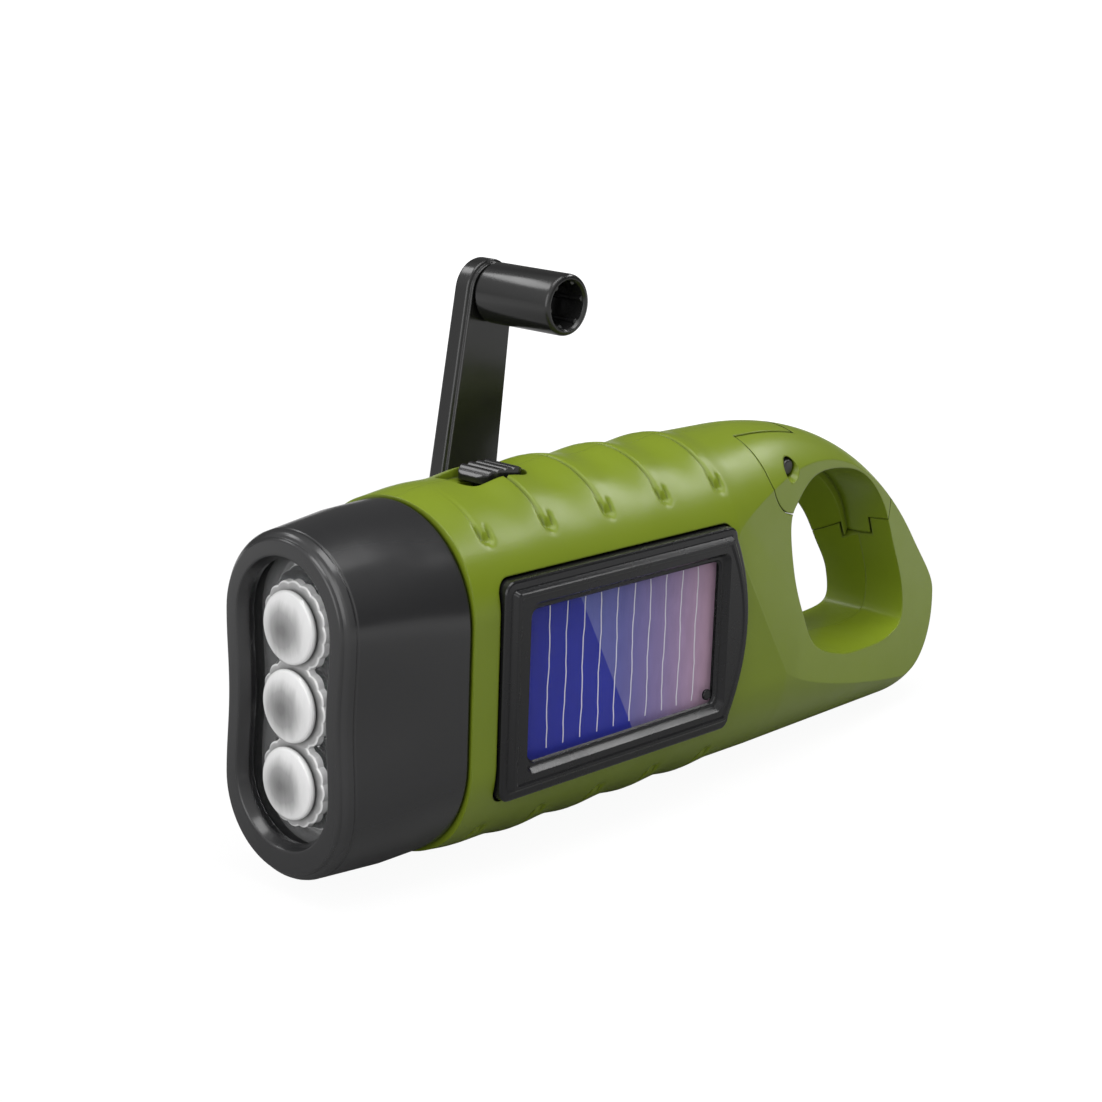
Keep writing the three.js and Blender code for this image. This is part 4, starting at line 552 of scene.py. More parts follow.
# Head: the hood's outline at its face, at its break and at its rear, and its mouth
FACE_HALF, FACE_HEIGHT, FACE_DROP, FACE_WAIST = 11.0, 21.4, 0.5, 0.5
BREAK_X, BREAK_HALF, BREAK_HEIGHT, HOOD_WALL, HOOD_STEP = 10.5, 12.85, 22.3, 1.5, 0.2
MOUTH_HALF, MOUTH_HEIGHT, MOUTH_DEPTH = 7.5, 17.4, 2.4


def hood_ring(x, inset=0.0):
    front = x < BREAK_X
    t = x / BREAK_X if front else (x - BREAK_X) / (START - BREAK_X)
    at = lambda face, middle, rear: face + (middle - face) * t if front else middle + (rear - middle) * t
    half = at(FACE_HALF, BREAK_HALF, HALF - HOOD_STEP)
    height = at(FACE_HEIGHT, BREAK_HEIGHT, (TOP - BOTTOM) / 2 - FRONT_FALL - HOOD_STEP)
    centre = (TOP + BOTTOM) / 2 * x / START - FACE_DROP * (1 - x / START)
    waist = FACE_WAIST * (1 - x / START)
    return stadium_ring(x, half - inset, centre + height - inset, centre - height + inset, waist)


def mouth_ring(x, grow):
    return stadium_ring(x, MOUTH_HALF + grow, MOUTH_HEIGHT + grow, -MOUTH_HEIGHT - grow, FACE_WAIST)


def head_hood():
    rim = [(0, 1.05), (0.02, 0.95), (0.12, 0.82), (0.3, 0.74), (0.42, 0.72), (0.5, 0.6), (0.62, 0.42),
           (0.85, 0.22), (1.15, 0.08), (1.5, 0), (1.62, 0.1), (1.8, 0.1), (1.92, 0)]
    rings = [hood_ring(x, inset) for x, inset in rim]
    rings += [hood_ring(x) for x in (6.0, BREAK_X, 14.0, START - GAP - 0.25)]
    rings.append(hood_ring(START - GAP, 0.12))
    mouth = [(-OVER, 1.2), (0, 0.85), (0.08, 0.7), (0.25, 0.6), (1.5, 0.1), (1.6, 0.3),
             (MOUTH_DEPTH + OVER, 0.3)]
    opening = loft("mouth", [mouth_ring(x, grow) for x, grow in mouth])
    room = loft("room", [hood_ring(x, HOOD_WALL) for x in (MOUTH_DEPTH, BREAK_X, START, START + OVER)])
    return cut(loft("hood", rings), opening, room)


# Turned about X at a height, from a list of radius and x, with flutes where the radius is large
def turned_x(name, profile, z, steps=64, flutes=0.0):
    turns = np.arange(steps) * 2 * math.pi / steps
    rings = []
    for r, x in profile:
        radii = r * (1 + (flutes if r > FLUTES_FROM else 0) * np.abs(np.cos(turns * 8)))
        rings.append([(x, k * math.cos(t), z + k * math.sin(t)) for t, k in zip(turns, radii)])
    return loft(name, rings)


WINDOW, WINDOW_THICKNESS, WINDOW_LAP = MOUTH_DEPTH + GAP, 1.2, 0.9
TRAY, TRAY_END, LAMP_PITCH = WINDOW + WINDOW_THICKNESS + GAP, WINDOW + WINDOW_THICKNESS + GAP + 8, 9.7
CUP_MOUTH, CUP_FLOOR, FLUTES_FROM, FLUTED_STEPS = 6.4, 4.6, 4.55, 160
LENS_DROP, LENS_FACE, LENS_RADIUS, LENS_RISE = -0.35, 0.35, 4.5, 0.5
LAMP_RADIUS, LAMP_RISE = 3.75, 1.1


def lens_window():
    start, end = WINDOW, WINDOW + WINDOW_THICKNESS
    places = [(start, 0.15), (start + 0.15, 0), (end - 0.15, 0), (end, 0.15)]
    return loft("window", [mouth_ring(x, WINDOW_LAP - inset) for x, inset in places])


# The window swells into a round lens over each lamp, with a fluted collar behind it
def window_lenses():
    front, radius = LENS_FACE, LENS_RADIUS
    profile = [(radius * share, front + LENS_RISE * share ** 2) for share in np.linspace(0.004, 0.93, 16)]
    profile += [(radius * 0.975, front + 0.56), (radius, front + 0.75), (radius, front + 1.1)]
    profile += [(radius - 0.25, front + 1.2), (radius - 0.25, front + 1.4)]
    profile += [(5.0, front + 1.45), (5.3, front + 1.6), (5.4, WINDOW + 0.05)]
    heights = LAMP_PITCH + LENS_DROP, LENS_DROP, LENS_DROP - LAMP_PITCH
    return join(*[turned_x("lens", profile, z, FLUTED_STEPS, 0.05) for z in heights])


def reflector():
    places = [(TRAY, WINDOW_LAP), (TRAY + 0.8, WINDOW_LAP), (TRAY + 0.8001, WINDOW_LAP - GAP), (TRAY_END, 0)]
    tray = loft("tray", [mouth_ring(x, grow) for x, grow in places])
    profile = [(CUP_MOUTH, TRAY - OVER)]
    for share in np.linspace(0, 1, 20):
        square = CUP_MOUTH ** 2 + (CUP_FLOOR ** 2 - CUP_MOUTH ** 2) * share
        profile.append((math.sqrt(square), TRAY + (TRAY_END - TRAY) * share))
    profile.append((CUP_FLOOR, TRAY_END + OVER))
    bowls = [turned_x("bowl", profile, i * LAMP_PITCH, FLUTED_STEPS, 0.035) for i in (-1, 0, 1)]
    return cut(tray, *bowls)


# A lamp lens: a shallow dome on a stepped stem, over its flange on the board
def lamp_lens(z):
    base, tip, radius = TRAY_END, TRAY + GAP + 0.05, LAMP_RADIUS
    turns = np.linspace(0.02, math.pi / 2.6, 12)
    dome = [(radius * math.sin(t), tip + LAMP_RISE * (1 - math.cos(t))) for t in turns]
    side = [(radius, tip + 1.0), (radius, tip + 1.7), (3.98, tip + 1.85), (3.98, tip + 2.7), (4.1, tip + 2.85),
            (4.1, base - 1.0), (4.35, base - 1.0), (4.35, base)]
    return turned_x("lens", dome + side, z)


# Solar panel, made on the +Y side and mirrored

def window_ring(grow, y, corner):
    outline = rounded_box(WINDOW_FRONT - grow, CELL_REAR + grow, CELL_HALF + grow, corner, 6)
    return [(x, y, z) for x, z in outline]


def solar_frame():
    shoulder, rim, face = HALF + 0.6, HALF + 1.4, COVER_FACE
    places = [(0.3, FRAME_BACK), (0, FRAME_BACK + 0.3), (0, shoulder - 0.3), (0.1, shoulder - 0.1),
              (0.3, shoulder), (1.0, shoulder + 0.05), (1.15, shoulder + 0.12), (1.45, rim - 0.12),
              (1.6, rim), (1.95, rim), (2.1, rim - 0.1), (2.2, rim - 0.15)]
    outer = loft("frame", [frame_ring(inset, y) for inset, y in places])
    steps = [(0, FRAME_BACK - OVER, 1), (0, face, 1), (0.55, face + 0.5, 1.2), (0.6, face + 0.62, 1.2),
             (0.95, face + 0.66, 1.2), (1.05, face + 0.75, 1.2), (1.5, rim - 0.2, 1.4), (1.7, rim, 1.5),
             (1.8, rim + OVER, 1.5)]
    window = loft("window", [window_ring(*step) for step in steps])
    return mirrored(cut(outer, window, cell_seat(CELL_LAP + GAP, FRAME_BACK - OVER, face + GAP)))


def cell_seat(grow, y0, y1):
    return block(CELL_FRONT - grow, CELL_REAR + grow, y0, y1, -CELL_HALF - grow, CELL_HALF + grow)


def cell_block(y0, y1):
    return mirrored(cell_seat(CELL_LAP, y0, y1))


# Printed lines on the cell, not quite straight
def cell_lines():
    made = []
    low, high = CELL_TOP - 0.05, CELL_TOP + 0.02
    section = [(-LINE_HALF, low), (LINE_HALF, low), (LINE_HALF, high), (-LINE_HALF, high)]
    heights = np.linspace(-CELL_HALF + 0.15, CELL_HALF - 0.15, 15)
    for i in range(LINE_COUNT):
        bends = 0.09 * np.sin(heights * 0.55 + 1.9 * i) + 0.05 * np.sin(heights * 1.7 + 2.3 * i)
        places = LINE_FIRST + LINE_PITCH * i + bends
        made.append(loft("line", [[(x + dx, y, z) for dx, y in section] for x, z in zip(places, heights)]))
    return mirrored(merged("cell_lines", made))


# The dark stud in the window's low rear corner
def window_stud():
    profile = rod(STUD_RADIUS, COVER_FACE - 0.1, COVER_FACE + 0.4, 0.25)
    return mirrored(turned("stud", profile, CELL_REAR - STUD_RADIUS, 0.8 - CELL_HALF, 32))


# Several meshes as one piece
def merged(name, parts):
    mesh = bmesh.new()
    for part in parts:
        mesh.from_mesh(part.data)
        bpy.data.objects.remove(part)
    made = added(name, bpy.data.meshes.new(name))
    mesh.to_mesh(made.data)
    mesh.free()
    return made


# Slider: slanted ridges across a rounded thumb piece
def switch_slider():
    start, floor, top = SLIDER_START, TOP - POCKET_DEPTH + RUN, TOP + SLIDER_RISE
    end = start + SLIDER_LENGTH
    outline = [(start, floor), (end, floor), (end, TOP - 0.1), (end - 0.4, TOP + 0.3)]
    ridges = np.linspace(end - 0.9, start + 0.9, 81)
    wave = 0.5 * np.abs(np.sin(np.linspace(0, 4 * math.pi, 81))) ** 0.8
    crown = 0.3 * (1 - ((ridges - (start + end) / 2) / (SLIDER_LENGTH / 2)) ** 2)
    outline += [(x, top - 1.45 + w + c) for x, w, c in zip(ridges, wave, crown)]
    outline += [(start + 0.4, TOP + 0.3), (start, TOP - 0.1)]
    body = prism(outline, -SLIDER_HALF, SLIDER_HALF)
    plan = slab(rounded_box(start, end, SLIDER_HALF, SLIDER_CORNER), floor - 1, top + 1)
    stem_top = TOP - WALL - 2 * GAP
    stem = block(STEM_START, STEM_START + STEM_LENGTH, -STEM_HALF, STEM_HALF, stem_top - 2.5, TOP)
    return join(common(body, plan), stem)


# Crank: drawn upright about its axis, then leaned as one
CRANK_LEAN, CRANK_RADIUS = rad(7.3), 40.0
HUB_LOW, HUB_TOP, HUB_RADIUS = SEAT_TOP + RUN, SEAT_TOP + RUN + 2.8, 12.0
HUB_SOCKET, HUB_SCREW = 2.7, 1.1
FOLD_Y, EAR_THICKNESS, EAR_RADIUS, FOLD_PIN = HUB_TOP + 8.0, 2.2, 3.6, 1.2
ARM_THICKNESS, ARM_WIDTH, ARM_TIP, ARM_RIM, BARREL = 3.1, 11.9, 4.6, 1.1, 3.0
ARM_BOSS, ARM_BORE = 3.45, 1.8
KNOB_RADIUS, KNOB_LENGTH, KNOB_BORE, KNOB_FLOOR, KNOB_AXLE = 4.3, 14.1, 3.2, 6.4, 1.5


def leaned(made):
    shift, pivot = Vector(SHIFT * MM), Vector((CRANK_X, 0, CRANK_Z)) * MM
    turn = Matrix.Rotation(CRANK_LEAN, 4, "Y")
    made.data.transform(Matrix.Translation(shift + pivot) @ turn @ Matrix.Translation(-shift))
    return made


def bar_x(radius, x0, x1, y, z):
    turns = np.arange(48) * 2 * math.pi / 48
    ring = [(y + radius * math.cos(t), z + radius * math.sin(t)) for t in turns]
    return loft("bar", [[(x, *point) for point in ring] for x in (x0, x1)])


# The bore of the pin that the arm folds on
def fold_bore():
    return bar_x(FOLD_PIN + RUN, -HUB_RADIUS, HUB_RADIUS, FOLD_Y, 0)


def crank_hub():
    hub = turned("hub", rod(HUB_RADIUS, HUB_LOW, HUB_TOP, 0.9), 0, 0)
    inner, foot, turn = ARM_WIDTH / 2 + RUN, HUB_TOP - 0.8, rad(75)
    ear = [(foot, -5.4), *arc(FOLD_Y, 0, EAR_RADIUS, -turn, turn), (foot, 5.4)]
    for low in (inner, -inner - EAR_THICKNESS):
        join(hub, loft("ear", [[(x, y, z) for y, z in ear] for x in (low, low + EAR_THICKNESS)]))
    socket = bar(HUB_SOCKET, HUB_LOW - OVER, HUB_TOP - 1.4, 0, 0)
    screw_hole = bar(HUB_SCREW, HUB_LOW, HUB_TOP + OVER, 0, 0)
    return leaned(cut(hub, socket, screw_hole, fold_bore()))


def arm_outline(inset, foot=0.0):
    half, tip = ARM_WIDTH / 2 - inset, ARM_TIP - inset
    lean = math.asin((ARM_WIDTH / 2 - ARM_TIP) / CRANK_RADIUS)
    return [(-half, foot), (half, foot), *arc(0, CRANK_RADIUS, tip, lean, math.pi - lean)]


def crank_arm():
    low, high = FOLD_Y - ARM_THICKNESS / 2, FOLD_Y + ARM_THICKNESS / 2
    edges = [(0.62, low), (0.55, low + 0.04), (0.5, low + 0.12), (0.44, low + 0.45), (0.1, low + 0.6),
             (0, low + 0.8), (0, high - 0.3), (0.08, high - 0.1), (0.3, high)]
    plate = loft("arm", [[(x, y, z) for x, z in arm_outline(inset)] for inset, y in edges])
    cut(plate, prism(arm_outline(ARM_RIM, BARREL + ARM_RIM), high - 0.5, high + OVER))
    barrel = bar_x(BARREL, -ARM_WIDTH / 2, ARM_WIDTH / 2, FOLD_Y, 0)
    join(plate, barrel, bar(ARM_BOSS, low, high, 0, CRANK_RADIUS))
    return leaned(cut(plate, fold_bore(), bar(ARM_BORE, 0, 2 * FOLD_Y, 0, CRANK_RADIUS)))


def crank_knob():
    root = FOLD_Y - ARM_THICKNESS / 2 - RUN
    tip, floor = root - KNOB_LENGTH, root - KNOB_FLOOR
    knob = turned("knob", rod(KNOB_RADIUS, root, tip, 0.75), 0, CRANK_RADIUS)
    mouth = [(3.7, tip - OVER), (3.6, tip), (3.3, tip + 0.35), (KNOB_BORE, tip + 1.2), (KNOB_BORE, floor)]
    cut(knob, turned("bore", mouth, 0, CRANK_RADIUS))
    turns, reach = np.arange(6) * math.pi / 3 + 0.3, KNOB_BORE + 0.1
    centres = [(reach * math.cos(t), CRANK_RADIUS + reach * math.sin(t)) for t in turns]
    join(knob, *[bar(0.42, tip + 0.5, floor + 0.5, x, z, 24) for x, z in centres])
    return leaned(cut(knob, bar(KNOB_AXLE + RUN, floor - OVER, root + OVER, 0, CRANK_RADIUS)))


def gate_pin():
    return turned("pin", rod(PIN_RADIUS, -PIN_HALF, PIN_HALF, 0.35), PIN_X, PIN_Z, 40)


# Materials

# A node with its settings and its sockets' values
def node(tree, kind, **settings):
    made = tree.nodes.new(kind)
    for key, value in settings.items():
        if key in made.inputs:
            made.inputs[key].default_value = value
        else:
            setattr(made, key, value)
    return made


def link(tree, source, target):
    tree.links.new(source, target)


def new_material(name):
    made = bpy.data.materials.new(name)
    made.use_nodes = True
    tree = made.node_tree
    tree.nodes.clear()
    out = tree.nodes.new("ShaderNodeOutputMaterial")
    shader = tree.nodes.new("ShaderNodeBsdfPrincipled")
    link(tree, shader.outputs[0], out.inputs[0])
    return made, tree, shader


def object_place(tree):
    return node(tree, "ShaderNodeTexCoord").outputs["Object"]


def noise(tree, scale, detail=3.0, roughness=0.55, stretch=None):
    source = object_place(tree)
    if stretch:
        mapping = node(tree, "ShaderNodeMapping", Scale=stretch)
        link(tree, source, mapping.inputs["Vector"])
        source = mapping.outputs[0]
    made = node(tree, "ShaderNodeTexNoise", Scale=scale, Detail=detail, Roughness=roughness)
    link(tree, source, made.inputs["Vector"])
    return made.outputs["Fac"]


def ramp(tree, source, stops):
    made = node(tree, "ShaderNodeValToRGB")
    points = made.color_ramp.elements
    while len(points) < len(stops):
        points.new(0.5)
    for point, (place, colour) in zip(points, stops):
        point.position = place
        point.color = (*colour, 1.0)
    link(tree, source, made.inputs[0])
    return made.outputs[0]


# A ramp of greys
def levels(tree, source, *stops):
    return ramp(tree, source, [(place, (level,) * 3) for place, level in stops])


def scaled(colour, factor):
    return tuple(min(1.0, c * factor) for c in colour)


def feed(tree, socket, source):
    if isinstance(source, (int, float)):
        socket.default_value = source
    else:
        link(tree, source, socket)


def mixed(tree, factor, first, second, way="MIX"):
    made = node(tree, "ShaderNodeMix", data_type="RGBA", blend_type=way)
    for place, source in ((0, factor), (6, first), (7, second)):
        feed(tree, made.inputs[place], source)
    return made.outputs[2]


def multiplied(tree, first, second):
    return mixed(tree, 1.0, first, second, "MULTIPLY")


def scalar(tree, operation, *sources):
    made = node(tree, "ShaderNodeMath", operation=operation)
    for place, source in enumerate(sources):
        feed(tree, made.inputs[place], source)
    return made.outputs[0]


def mapped(tree, source, low, high):
    made = node(tree, "ShaderNodeMapRange", **{"From Min": low, "From Max": high})
    link(tree, source, made.inputs["Value"])
    return made.outputs[0]


# The object's own X, Y and Z
def position(tree):
    made = node(tree, "ShaderNodeSeparateXYZ")
    link(tree, object_place(tree), made.inputs[0])
    return made.outputs["X"], made.outputs["Y"], made.outputs["Z"]


# Links or sets the shader's sockets, with _ for the space in their names
def wire(tree, shader, **sources):
    for name, source in sources.items():
        feed(tree, shader.inputs[name.replace("_", " ")], source)


def bump(tree, height, distance, strength, normal=None):
    made = node(tree, "ShaderNodeBump", Strength=strength, Distance=distance)
    link(tree, height, made.inputs["Height"])
    if normal is not None:
        link(tree, normal, made.inputs["Normal"])
    return made.outputs[0]


def soft_edges(tree, radius):
    return node(tree, "ShaderNodeBevel", samples=6, Radius=radius).outputs[0]


def in_crevices(tree, distance):
    return node(tree, "ShaderNodeAmbientOcclusion", samples=6, Distance=distance).outputs["AO"]


# Moulded plastic: slow tone changes, wiped gloss, fine grain, and painted shade that darkens its seams and
# crevices
def plastic(name, colour, roughness, grain, edge=0.0002, painted_shade=0.35, gloss=0.5):
    made, tree, shader = new_material(name)
    tones = [(0.3, scaled(colour, 0.95)), (0.7, scaled(colour, 1.05))]
    # Painted shade: the base colour darkens where ambient occlusion finds crevices, seams and creases
    shade = levels(tree, in_crevices(tree, 0.001), (0.25, painted_shade), (0.8, 1.0))
    tone = multiplied(tree, ramp(tree, noise(tree, 38.0, 4.0), tones), shade)
    wiped = levels(tree, noise(tree, 260.0, 5.0), (0.3, roughness * 0.9), (0.72, roughness * 1.12))
    normal = soft_edges(tree, edge) if edge else None
    grains = bump(tree, noise(tree, 5200.0, 2.0), 0.00003, grain, normal)
    wire(tree, shader, Base_Color=tone, Roughness=wiped, Normal=grains, Specular_IOR_Level=gloss)
    return made


# Metal with a fine streak in its tone, gloss and surface
def metal(name, colour, roughness, brushed=None, metallic=1.0):
    made, tree, shader = new_material(name)
    streak = noise(tree, 900.0, 4.0, 0.6, brushed)
    tone = ramp(tree, streak, [(0.25, scaled(colour, 0.86)), (0.75, colour)])
    rough = levels(tree, streak, (0.3, roughness * 0.75), (0.7, roughness * 1.25))
    normal = bump(tree, streak, 0.00001, 0.25, soft_edges(tree, 0.0001))
    wire(tree, shader, Base_Color=tone, Roughness=rough, Metallic=metallic, Normal=normal)
    return made


# Clear plastic with a faint haze
def clear(name, tint, alpha, transmission=0.0, rough=(0.02, 0.05), gloss=0.5):
    made, tree, shader = new_material(name)
    haze = noise(tree, 420.0, 3.0)
    tone = ramp(tree, haze, [(0.3, scaled(tint, 0.97)), (0.7, tint)])
    wiped = levels(tree, haze, (0.3, rough[0]), (0.75, rough[1]))
    wire(tree, shader, Base_Color=tone, Roughness=wiped, Alpha=alpha, Transmission_Weight=transmission,
         IOR=1.49, Specular_IOR_Level=gloss)
    return made


# The round lenses: a painted reflection, grey in the middle and bright to their rims, with painted shade in a
# dark groove before the collar
def lens_look():
    made, tree, shader = new_material("moulded_lens")
    x, y, z = position(tree)
    across = scalar(tree, "SUBTRACT", y, (SHIFT[1] + 0.5) * MM)
    above = scalar(tree, "SUBTRACT", z, (SHIFT[2] + LENS_DROP - 0.3) * MM)
    up = scalar(tree, "WRAP", above, LAMP_PITCH * MM / 2, -LAMP_PITCH * MM / 2)
    squares = [scalar(tree, "MULTIPLY", side, side) for side in (across, up)]
    distance = mapped(tree, scalar(tree, "POWER", scalar(tree, "ADD", *squares), 0.5), 0.0, 0.0055)
    reflection_streaks = scalar(tree, "MULTIPLY", noise(tree, 900.0, 3.0, 0.6, (1.0, 1.0, 0.2)), 0.22)
    reach = scalar(tree, "ADD", distance, reflection_streaks)
    # Painted reflection: grey at each lamp's axis, brightening to white at its rim, broken by streaks
    face = levels(tree, reach, (0.2, 0.2), (0.5, 0.4), (0.78, 0.9), (0.93, 1.0))
    # Painted shade: a dark ring where the groove before the collar lies
    depth = mapped(tree, x, (SHIFT[0] + 1.1) * MM, (SHIFT[0] + 2.3) * MM)
    groove = levels(tree, depth, (0.1, 1.0), (0.28, 0.06), (0.52, 0.06), (0.66, 1.0))
    rough = levels(tree, noise(tree, 600.0), (0.3, 0.1), (0.7, 0.18))
    wire(tree, shader, Base_Color=multiplied(tree, face, groove), Roughness=rough, Transmission_Weight=0.2,
         Coat_Weight=0.6, Coat_Roughness=0.05)
    return made


# The cell: deep blue at the lamp end, and past a slanted line to the rear a painted sheen, a reflection paler
# and pinker to the rear
SHEEN_X, SHEEN_Z, SHEEN_SLOPE, SHEEN_BLUR = 37.6, 9.0, (47.14 - 36.91) / (9.14 + 9.25), 0.00008


def silicon():
    made, tree, shader = new_material("silicon")
    x, _, z = position(tree)
    along = mapped(tree, x, (CELL_FRONT + SHIFT[0]) * MM, (CELL_REAR + SHIFT[0]) * MM)
    deep = ramp(tree, along, [(0.0, (0.012, 0.02, 0.36)), (0.55, (0.02, 0.03, 0.42))])
    # Painted sheen: the reflection's colours, paler and pinker towards the rear
    painted_sheen = ramp(tree, along, [(0.25, (0.13, 0.16, 0.5)), (0.5, (0.15, 0.15, 0.46)), (0.72, (0.3, 0.23, 0.48)),
                              (1.0, (0.58, 0.38, 0.52))])
    # The slanted edge of the painted sheen, barely blurred
    slanted = scalar(tree, "MULTIPLY_ADD", z, SHEEN_SLOPE, x)
    middle = (SHEEN_X + SHIFT[0]) * MM + SHEEN_SLOPE * (SHEEN_Z + SHIFT[2]) * MM
    side = mapped(tree, slanted, middle - SHEEN_BLUR, middle + SHEEN_BLUR)
    grain = levels(tree, noise(tree, 700.0, 4.0, 0.6, (1.0, 1.0, 0.35)), (0.3, 0.84), (0.75, 1.0))
    tone = multiplied(tree, mixed(tree, side, deep, painted_sheen), grain)
    rough = levels(tree, noise(tree, 500.0), (0.3, 0.3), (0.7, 0.4))
    wire(tree, shader, Base_Color=tone, Roughness=rough, Specular_IOR_Level=0.2)
    return made


GREEN = (0.185, 0.25, 0.014)
looks = {
    # The green shell carries strong painted shade in its creases and seams
    "shell": plastic("green_shell", GREEN, 0.32, 0.05, gloss=0.36, painted_shade=0.15, edge=0.0003),
    "hood": plastic("satin_black", (0.022, 0.022, 0.023), 0.21, 0.04, gloss=0.6),
    "crank": plastic("crank_black", (0.013, 0.013, 0.013), 0.19, 0.04, gloss=0.55),
    "frame": plastic("gloss_black", (0.01, 0.01, 0.011), 0.26, 0.02, gloss=0.4, edge=0),
    "clear": clear("clear_plastic", (0.93, 0.95, 0.96), 0.012, gloss=0.3),
    "lamp": clear("lamp_lens", (0.95, 0.96, 0.97), 1.0, 0.85, (0.05, 0.12)),
    "bulge": lens_look(),
    "chrome": metal("chrome", (0.95, 0.955, 0.96), 0.12, metallic=0.85),
    "cell": silicon(),
    "silver": plastic("silver_print", (0.8, 0.8, 0.86), 0.4, 0.02, edge=0, painted_shade=1.0),
    "circuit": plastic("solder_resist", (0.02, 0.16, 0.05), 0.3, 0.05),
    "steel": metal("plated_steel", (0.56, 0.57, 0.59), 0.28),
    "dark_steel": metal("dark_steel", (0.09, 0.09, 0.085), 0.4),
    "nylon": plastic("nylon", (0.72, 0.69, 0.6), 0.45, 0.05),
    "magnet": metal("dark_iron", (0.16, 0.16, 0.17), 0.42),
    "copper": metal("enamelled_wire", (0.62, 0.27, 0.1), 0.25, (1.0, 9.0, 9.0)),
    "wrap": plastic("shrink_wrap", (0.05, 0.2, 0.55), 0.25, 0.02),
}


# Welds a mesh and smooths the edges that bend less than an angle
def smoothing_group(degrees):
    tree = bpy.data.node_groups.new("smooth_shading", "GeometryNodeTree")
    tree.interface.new_socket("Geometry", in_out="INPUT", socket_type="NodeSocketGeometry")
    tree.interface.new_socket("Geometry", in_out="OUTPUT", socket_type="NodeSocketGeometry")
    start, end = tree.nodes.new("NodeGroupInput"), tree.nodes.new("NodeGroupOutput")
    weld = node(tree, "GeometryNodeMergeByDistance", Distance=0.0000005)
    faces = node(tree, "GeometryNodeSetShadeSmooth", domain="FACE")
    edges = node(tree, "GeometryNodeSetShadeSmooth", domain="EDGE")
    angle = node(tree, "GeometryNodeInputMeshEdgeAngle")
    shallow = node(tree, "FunctionNodeCompare", operation="LESS_EQUAL")
    shallow.inputs[1].default_value = rad(degrees)
    link(tree, start.outputs[0], weld.inputs[0])
    link(tree, weld.outputs[0], faces.inputs[0])
    link(tree, faces.outputs[0], edges.inputs[0])
    link(tree, angle.outputs[0], shallow.inputs[0])
    link(tree, shallow.outputs[0], edges.inputs["Shade Smooth"])
    link(tree, edges.outputs[0], end.inputs[0])
    return tree


plain_smooth, fine_smooth = smoothing_group(32), smoothing_group(12)
slots = {s["node"]: s["material_slot"] for s in frame["record"]["subparts"]}
bodies = {n: body for body, names in frame["record"]["behaviour"]["bodies"].items() for n in names}
for name, obj in frame["nodes"].items():
    obj.data.materials.clear()
    obj.data.materials.append(looks[slots[name]])
    obj.modifiers.new("smooth", "NODES").node_group = plain_smooth


# A finished piece: its look, the body that it rides on and the node that it stands for
def place(made, name, look, body, replaced=None, slot=None):
    made.name = name
    made.data.name = name
    made.data.materials.clear()
    made.data.materials.append(looks[look])
    made.modifiers.new("smooth", "NODES").node_group = fine_smooth
    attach(made, body)
    if replaced:
        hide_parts(replaced)


def stand_in(made, replaced, look=None):
    place(made, replaced + "_form", look or slots[replaced], bodies[replaced], replaced)


# A piece of scene.py alone, which moves with a node
def beside(made, name, look, carrier):
    place(made, name, look, bodies[carrier], slot=slots[carrier])


stand_in(panel_side_shell(), "panel_side_shell")
stand_in(crank_side_shell(), "crank_side_shell")
stand_in(carabiner_gate(), "carabiner_gate")
stand_in(gate_pin(), "gate_pin", "dark_steel")
stand_in(head_hood(), "head_hood")
stand_in(lens_window(), "lens_window")
stand_in(reflector(), "reflector")
beside(window_lenses(), "window_lenses", "bulge", "lens_window")
for i in (1, 2, 3):
    stand_in(lamp_lens((2 - i) * LAMP_PITCH), f"led_lens_{i}", "lamp")
stand_in(solar_frame(), "solar_frame")
stand_in(cell_block(COVER_FACE - COVER_THICKNESS, COVER_FACE), "solar_cover")
stand_in(cell_block(CELL_TOP - CELL_THICKNESS, CELL_TOP), "solar_cell")
beside(cell_lines(), "solar_lines", "silver", "solar_cell")
beside(window_stud(), "window_stud", "frame", "solar_frame")
stand_in(switch_slider(), "switch_slider", "crank")
stand_in(crank_hub(), "crank_hub", "crank")
stand_in(crank_arm(), "crank_arm", "crank")
stand_in(crank_knob(), "crank_knob", "crank")


# Camera, lamps and floor

def aim(obj, place, target, roll=0.0):
    forward = (Vector(target) - Vector(place)).normalized()
    right = forward.cross(Vector((0, 0, 1))).normalized()
    up = right.cross(forward)
    c, s = math.cos(roll), math.sin(roll)
    across, above = right * c + up * s, up * c - right * s
    turn = Matrix((across, above, -forward)).transposed()
    obj.matrix_world = Matrix.Translation(place) @ turn.to_4x4()


camera = added("camera", bpy.data.cameras.new("camera"))
camera.data.sensor_width = 36.0
camera.data.lens = 79.13
camera.data.clip_start = 0.01
aim(camera, (-0.2444, -0.215375, 0.115066), (-0.0192, -0.009375, 0.034936), rad(2.0))
bpy.context.scene.camera = camera

CENTRE = (0.0, 0.0, 0.03)


def lamp(name, place, size, power):
    data = bpy.data.lights.new(name, "AREA")
    data.shape = "RECTANGLE"
    data.size, data.size_y = size
    data.energy = power
    aim(added(name, data), place, CENTRE)


lamp("key_above", (0.0, -0.13, 0.7), (0.5, 0.35), 2.3)
lamp("fill_front", (-0.8, -0.12, 0.3), (0.6, 0.6), 2.2)
lamp("strip_rear", (0.55, -0.17, 0.5), (0.45, 0.1), 1.3)
lamp("rear_above", (-0.2, 0.5, 0.6), (0.35, 0.16), 0.8)


# 1 for rays from the camera, also through clear pieces
def seen_rays(tree):
    rays = node(tree, "ShaderNodeLightPath")
    return scalar(tree, "MAXIMUM", rays.outputs["Is Camera Ray"], rays.outputs["Is Transmission Ray"])


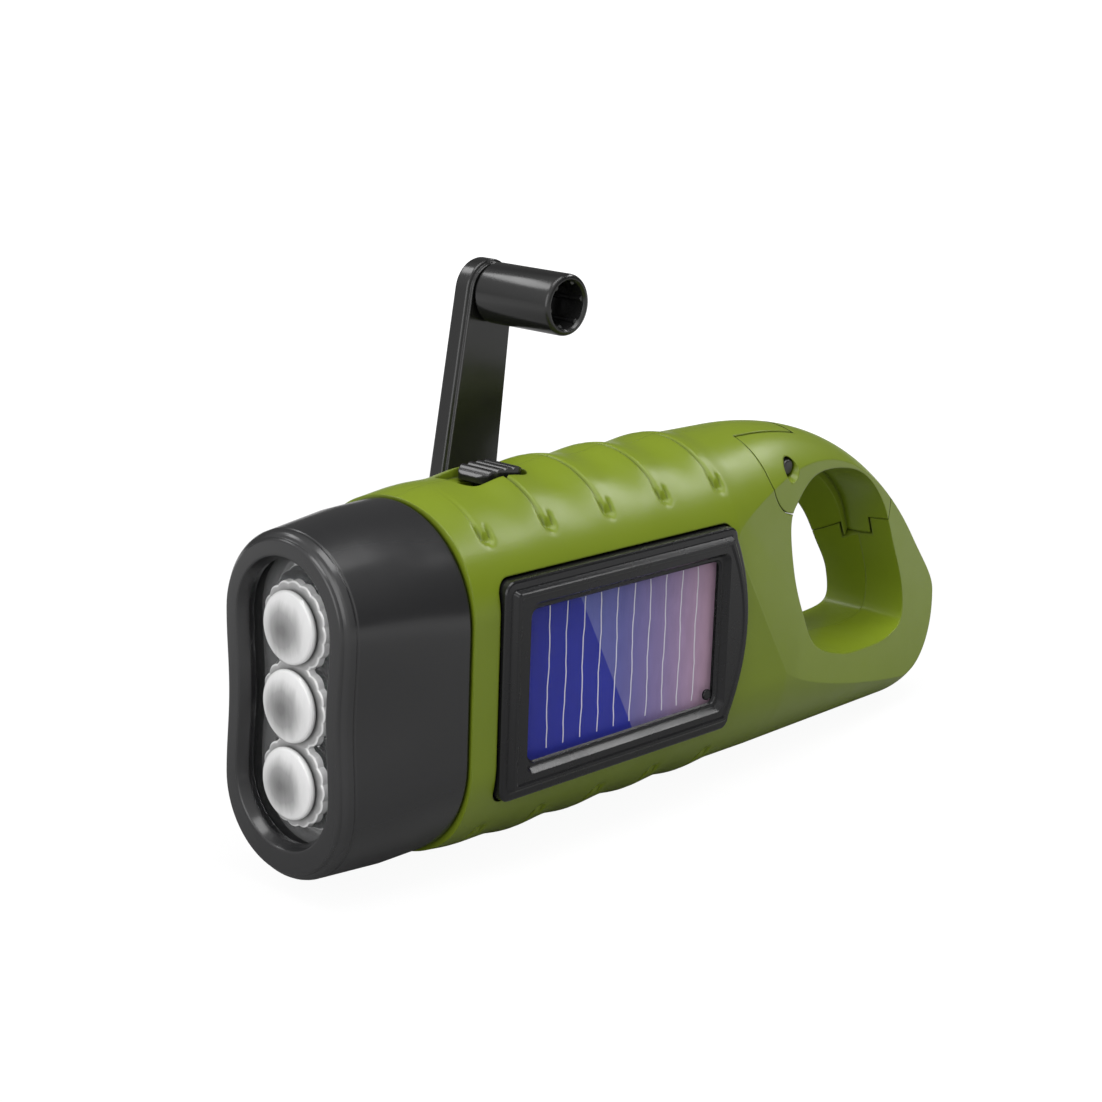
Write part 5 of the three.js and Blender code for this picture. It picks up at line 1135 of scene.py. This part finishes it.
def blended(tree, share, first, second, out):
    mix = node(tree, "ShaderNodeMixShader")
    for source, socket in zip((share, first.outputs[0], second.outputs[0]), mix.inputs):
        link(tree, source, socket)
    link(tree, mix.outputs[0], out.inputs[0])


# A pale floor that keeps the shadow. It glows towards the camera, and further out in mirrored views.
FLOOR_HALF, FLOOR_GLOW, GLOW_NEAR, GLOW_FAR = 8.0, 1.18, 0.08, 0.22
GLOW_AT_OBJECT, GLOW_MIRRORED = 0.8, 0.5


def floor_material():
    made, tree, shader = new_material("floor")
    speckle = levels(tree, noise(tree, 90.0, 4.0), (0.3, 0.33), (0.7, 0.35))
    wire(tree, shader, Base_Color=speckle, Roughness=0.9, Specular_IOR_Level=0.1)
    length = node(tree, "ShaderNodeVectorMath", operation="LENGTH")
    link(tree, object_place(tree), length.inputs[0])
    far = mapped(tree, length.outputs["Value"], GLOW_NEAR, GLOW_FAR)
    glossy = node(tree, "ShaderNodeLightPath").outputs["Is Glossy Ray"]
    mirrored_share = scalar(tree, "MULTIPLY", scalar(tree, "MULTIPLY", far, GLOW_MIRRORED), glossy)
    seen_share = scalar(tree, "MULTIPLY", scalar(tree, "MAXIMUM", far, GLOW_AT_OBJECT), seen_rays(tree))
    share = scalar(tree, "MAXIMUM", mirrored_share, seen_share)
    glow = node(tree, "ShaderNodeEmission", Strength=FLOOR_GLOW)
    blended(tree, share, shader, glow, tree.get_output_node("ALL"))
    return made


floor_mesh = bpy.data.meshes.new("floor")
corners = [(x * FLOOR_HALF, y * FLOOR_HALF, 0) for x, y in ((-1, -1), (1, -1), (1, 1), (-1, 1))]
floor_mesh.from_pydata(corners, [], [(0, 1, 2, 3)])
floor = added("floor", floor_mesh)
floor_mesh.materials.append(floor_material())

# A dome that is brighter overhead and in front lights the object, and white stands behind it
world = bpy.data.worlds.new("studio")
bpy.context.scene.world = world
world.use_nodes = True
tree = world.node_tree
tree.nodes.clear()
facing = node(tree, "ShaderNodeVectorMath", operation="DOT_PRODUCT")
link(tree, node(tree, "ShaderNodeTexCoord").outputs["Generated"], facing.inputs[0])
facing.inputs[1].default_value = Vector((-0.75, -0.2, 0.63)).normalized()
dome = node(tree, "ShaderNodeBackground")
link(tree, levels(tree, facing.outputs["Value"], (0.0, 0.1), (0.85, 0.95)), dome.inputs["Color"])
white = node(tree, "ShaderNodeBackground", Color=(1.0, 1.0, 1.0, 1.0))
blended(tree, seen_rays(tree), dome, white, node(tree, "ShaderNodeOutputWorld"))

bpy.context.scene.view_settings.view_transform = "Standard"
